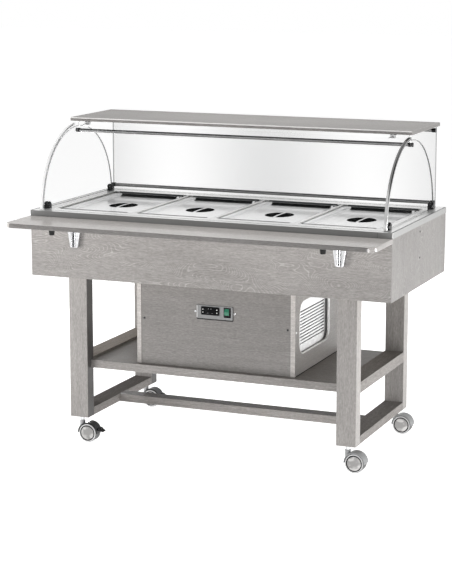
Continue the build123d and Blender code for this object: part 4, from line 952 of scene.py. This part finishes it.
# Floor
FLOOR_HALF = 30
FLOOR_CORNERS = [(u * FLOOR_HALF, v * FLOOR_HALF, 0) for u, v in ((-1, -1), (1, -1), (1, 1), (-1, 1))]
floor_mesh = bpy.data.meshes.new("floor")
floor_mesh.from_pydata(FLOOR_CORNERS, [], [(0, 1, 2, 3)])
floor = bpy.data.objects.new("floor", floor_mesh)
scene.collection.objects.link(floor)
paper = Shader("floor_paper", Specular_IOR_Level=0.1, Emission_Strength=0.90,
               Emission_Color=(1.0, 1.0, 1.0, 1.0))
fine = paper.noise(40.0, 3.0)
floor_mesh.materials.append(paper.set(Base_Color=paper.blend(fine, grey(0.62), grey(0.65)),
                                      Roughness=paper.spread(fine, 0, 1, 0.8, 0.9)))

# Studio: white to the camera, darker above for shiny surfaces except on the left, dim for matt ones
world = bpy.data.worlds.new("studio")
scene.world = world
world.use_nodes = True
sky = world.node_tree
sky.nodes.clear()


def sky_mix(factor, first, second):
    return add_node(sky, "Mix", {0: factor, 2: first, 3: second}, data_type="FLOAT").outputs[0]


direction = add_node(sky, "SeparateXYZ", {0: add_node(sky, "TexCoord").outputs["Generated"]}).outputs
behind = spread(sky, direction[1], -0.1, 0.3, smooth=True)
above = spread(sky, direction[2], 0.35, 0.60, smooth=True)
left = spread(sky, direction[0], -0.38, -0.46, smooth=True)
low_tone = spread(sky, behind, 0.0, 1.0, 0.72, 1.05)
high_tone = sky_mix(left, spread(sky, behind, 0.0, 1.0, 0.04, 0.50), 1.0)
shiny_tone = sky_mix(above, low_tone, high_tone)
matt_tone = spread(sky, spread(sky, direction[2], 0.10, 0.40, smooth=True), 0.0, 1.0, 0.50, 0.12)
path = add_node(sky, "LightPath").outputs
tone = sky_mix(path["Is Glossy Ray"], matt_tone, shiny_tone)
level = sky_mix(path["Is Camera Ray"], tone, 1.0)
shine = add_node(sky, "Background", {"Color": (1.0, 1.0, 1.0, 1.0), "Strength": level})
add_node(sky, "OutputWorld", {"Surface": shine.outputs[0]})


def area_light(name, place, aim, size, power, glint=False):
    """A soft light that only matt surfaces see, or a glint that only shiny ones do."""
    light = bpy.data.lights.new(name, "AREA")
    light.shape = "RECTANGLE"
    light.size, light.size_y = size
    light.energy = power
    holder = bpy.data.objects.new(name, light)
    scene.collection.objects.link(holder)
    holder.location = place
    holder.rotation_euler = (Vector(aim) - Vector(place)).to_track_quat("-Z", "Y").to_euler()
    holder.visible_glossy = glint
    holder.visible_diffuse = not glint
    holder.visible_camera = False


area_light("front_left", (-3.2, -3.5, 1.1), (-0.3, 0.0, 0.6), (2.0, 1.2), 146.0)
area_light("overhead", (0.2, -0.2, 4.2), (0.0, 0.0, 0.9), (3.0, 2.0), 98.0)
area_light("fill_right", (4.6, 0.3, 2.9), (0.5, 0.1, 0.5), (2.0, 1.2), 28.0)
area_light("rear_fill", (-1.2, 4.6, 1.5), (0.0, 0.4, 0.7), (2.4, 1.4), 70.0)
area_light("low_right", (2.3, -0.3, 0.52), (0.33, 0.1, 0.42), (0.6, 0.3), 8.0)
area_light("under_board", (0.0, 0.26, 1.205), (0.0, 0.24, 0.9), (1.4, 0.30), 2.1)
# Glints, aimed at the front corners of the counter and the tray
GLINTS = (("glint_front", (2.11, -3.07, 0.42), 0.7), ("glint_right", (3.37, 0.94, 0.42), 0.7),
          ("glint_left", (-2.38, 2.07, 0.42), -0.7))
for name, place, aim_x in GLINTS:
    area_light(name, place, (aim_x, -0.42, 0.9), (1.4, 0.6), 64.0, glint=True)

# Camera, fitted to the photograph in pixels
PHOTO_HEIGHT = 584.0
FOCAL_LENGTH = 1811.306
CENTRE_ROW = 245.0
SENSOR = 36.0
lens = bpy.data.cameras.new("camera")
lens.sensor_fit = "VERTICAL"
lens.sensor_height = SENSOR
lens.lens = SENSOR * FOCAL_LENGTH / PHOTO_HEIGHT
lens.shift_y = (CENTRE_ROW - PHOTO_HEIGHT / 2) / PHOTO_HEIGHT
lens.clip_end = 100.0
camera = bpy.data.objects.new("camera", lens)
scene.collection.objects.link(camera)
camera.location = (2.664645, -6.416599, 1.969679)
camera.rotation_euler = (math.radians(90.0 - 9.580750), 0.0, math.radians(22.647289))
scene.camera = camera
scene.view_settings.view_transform = "Standard"
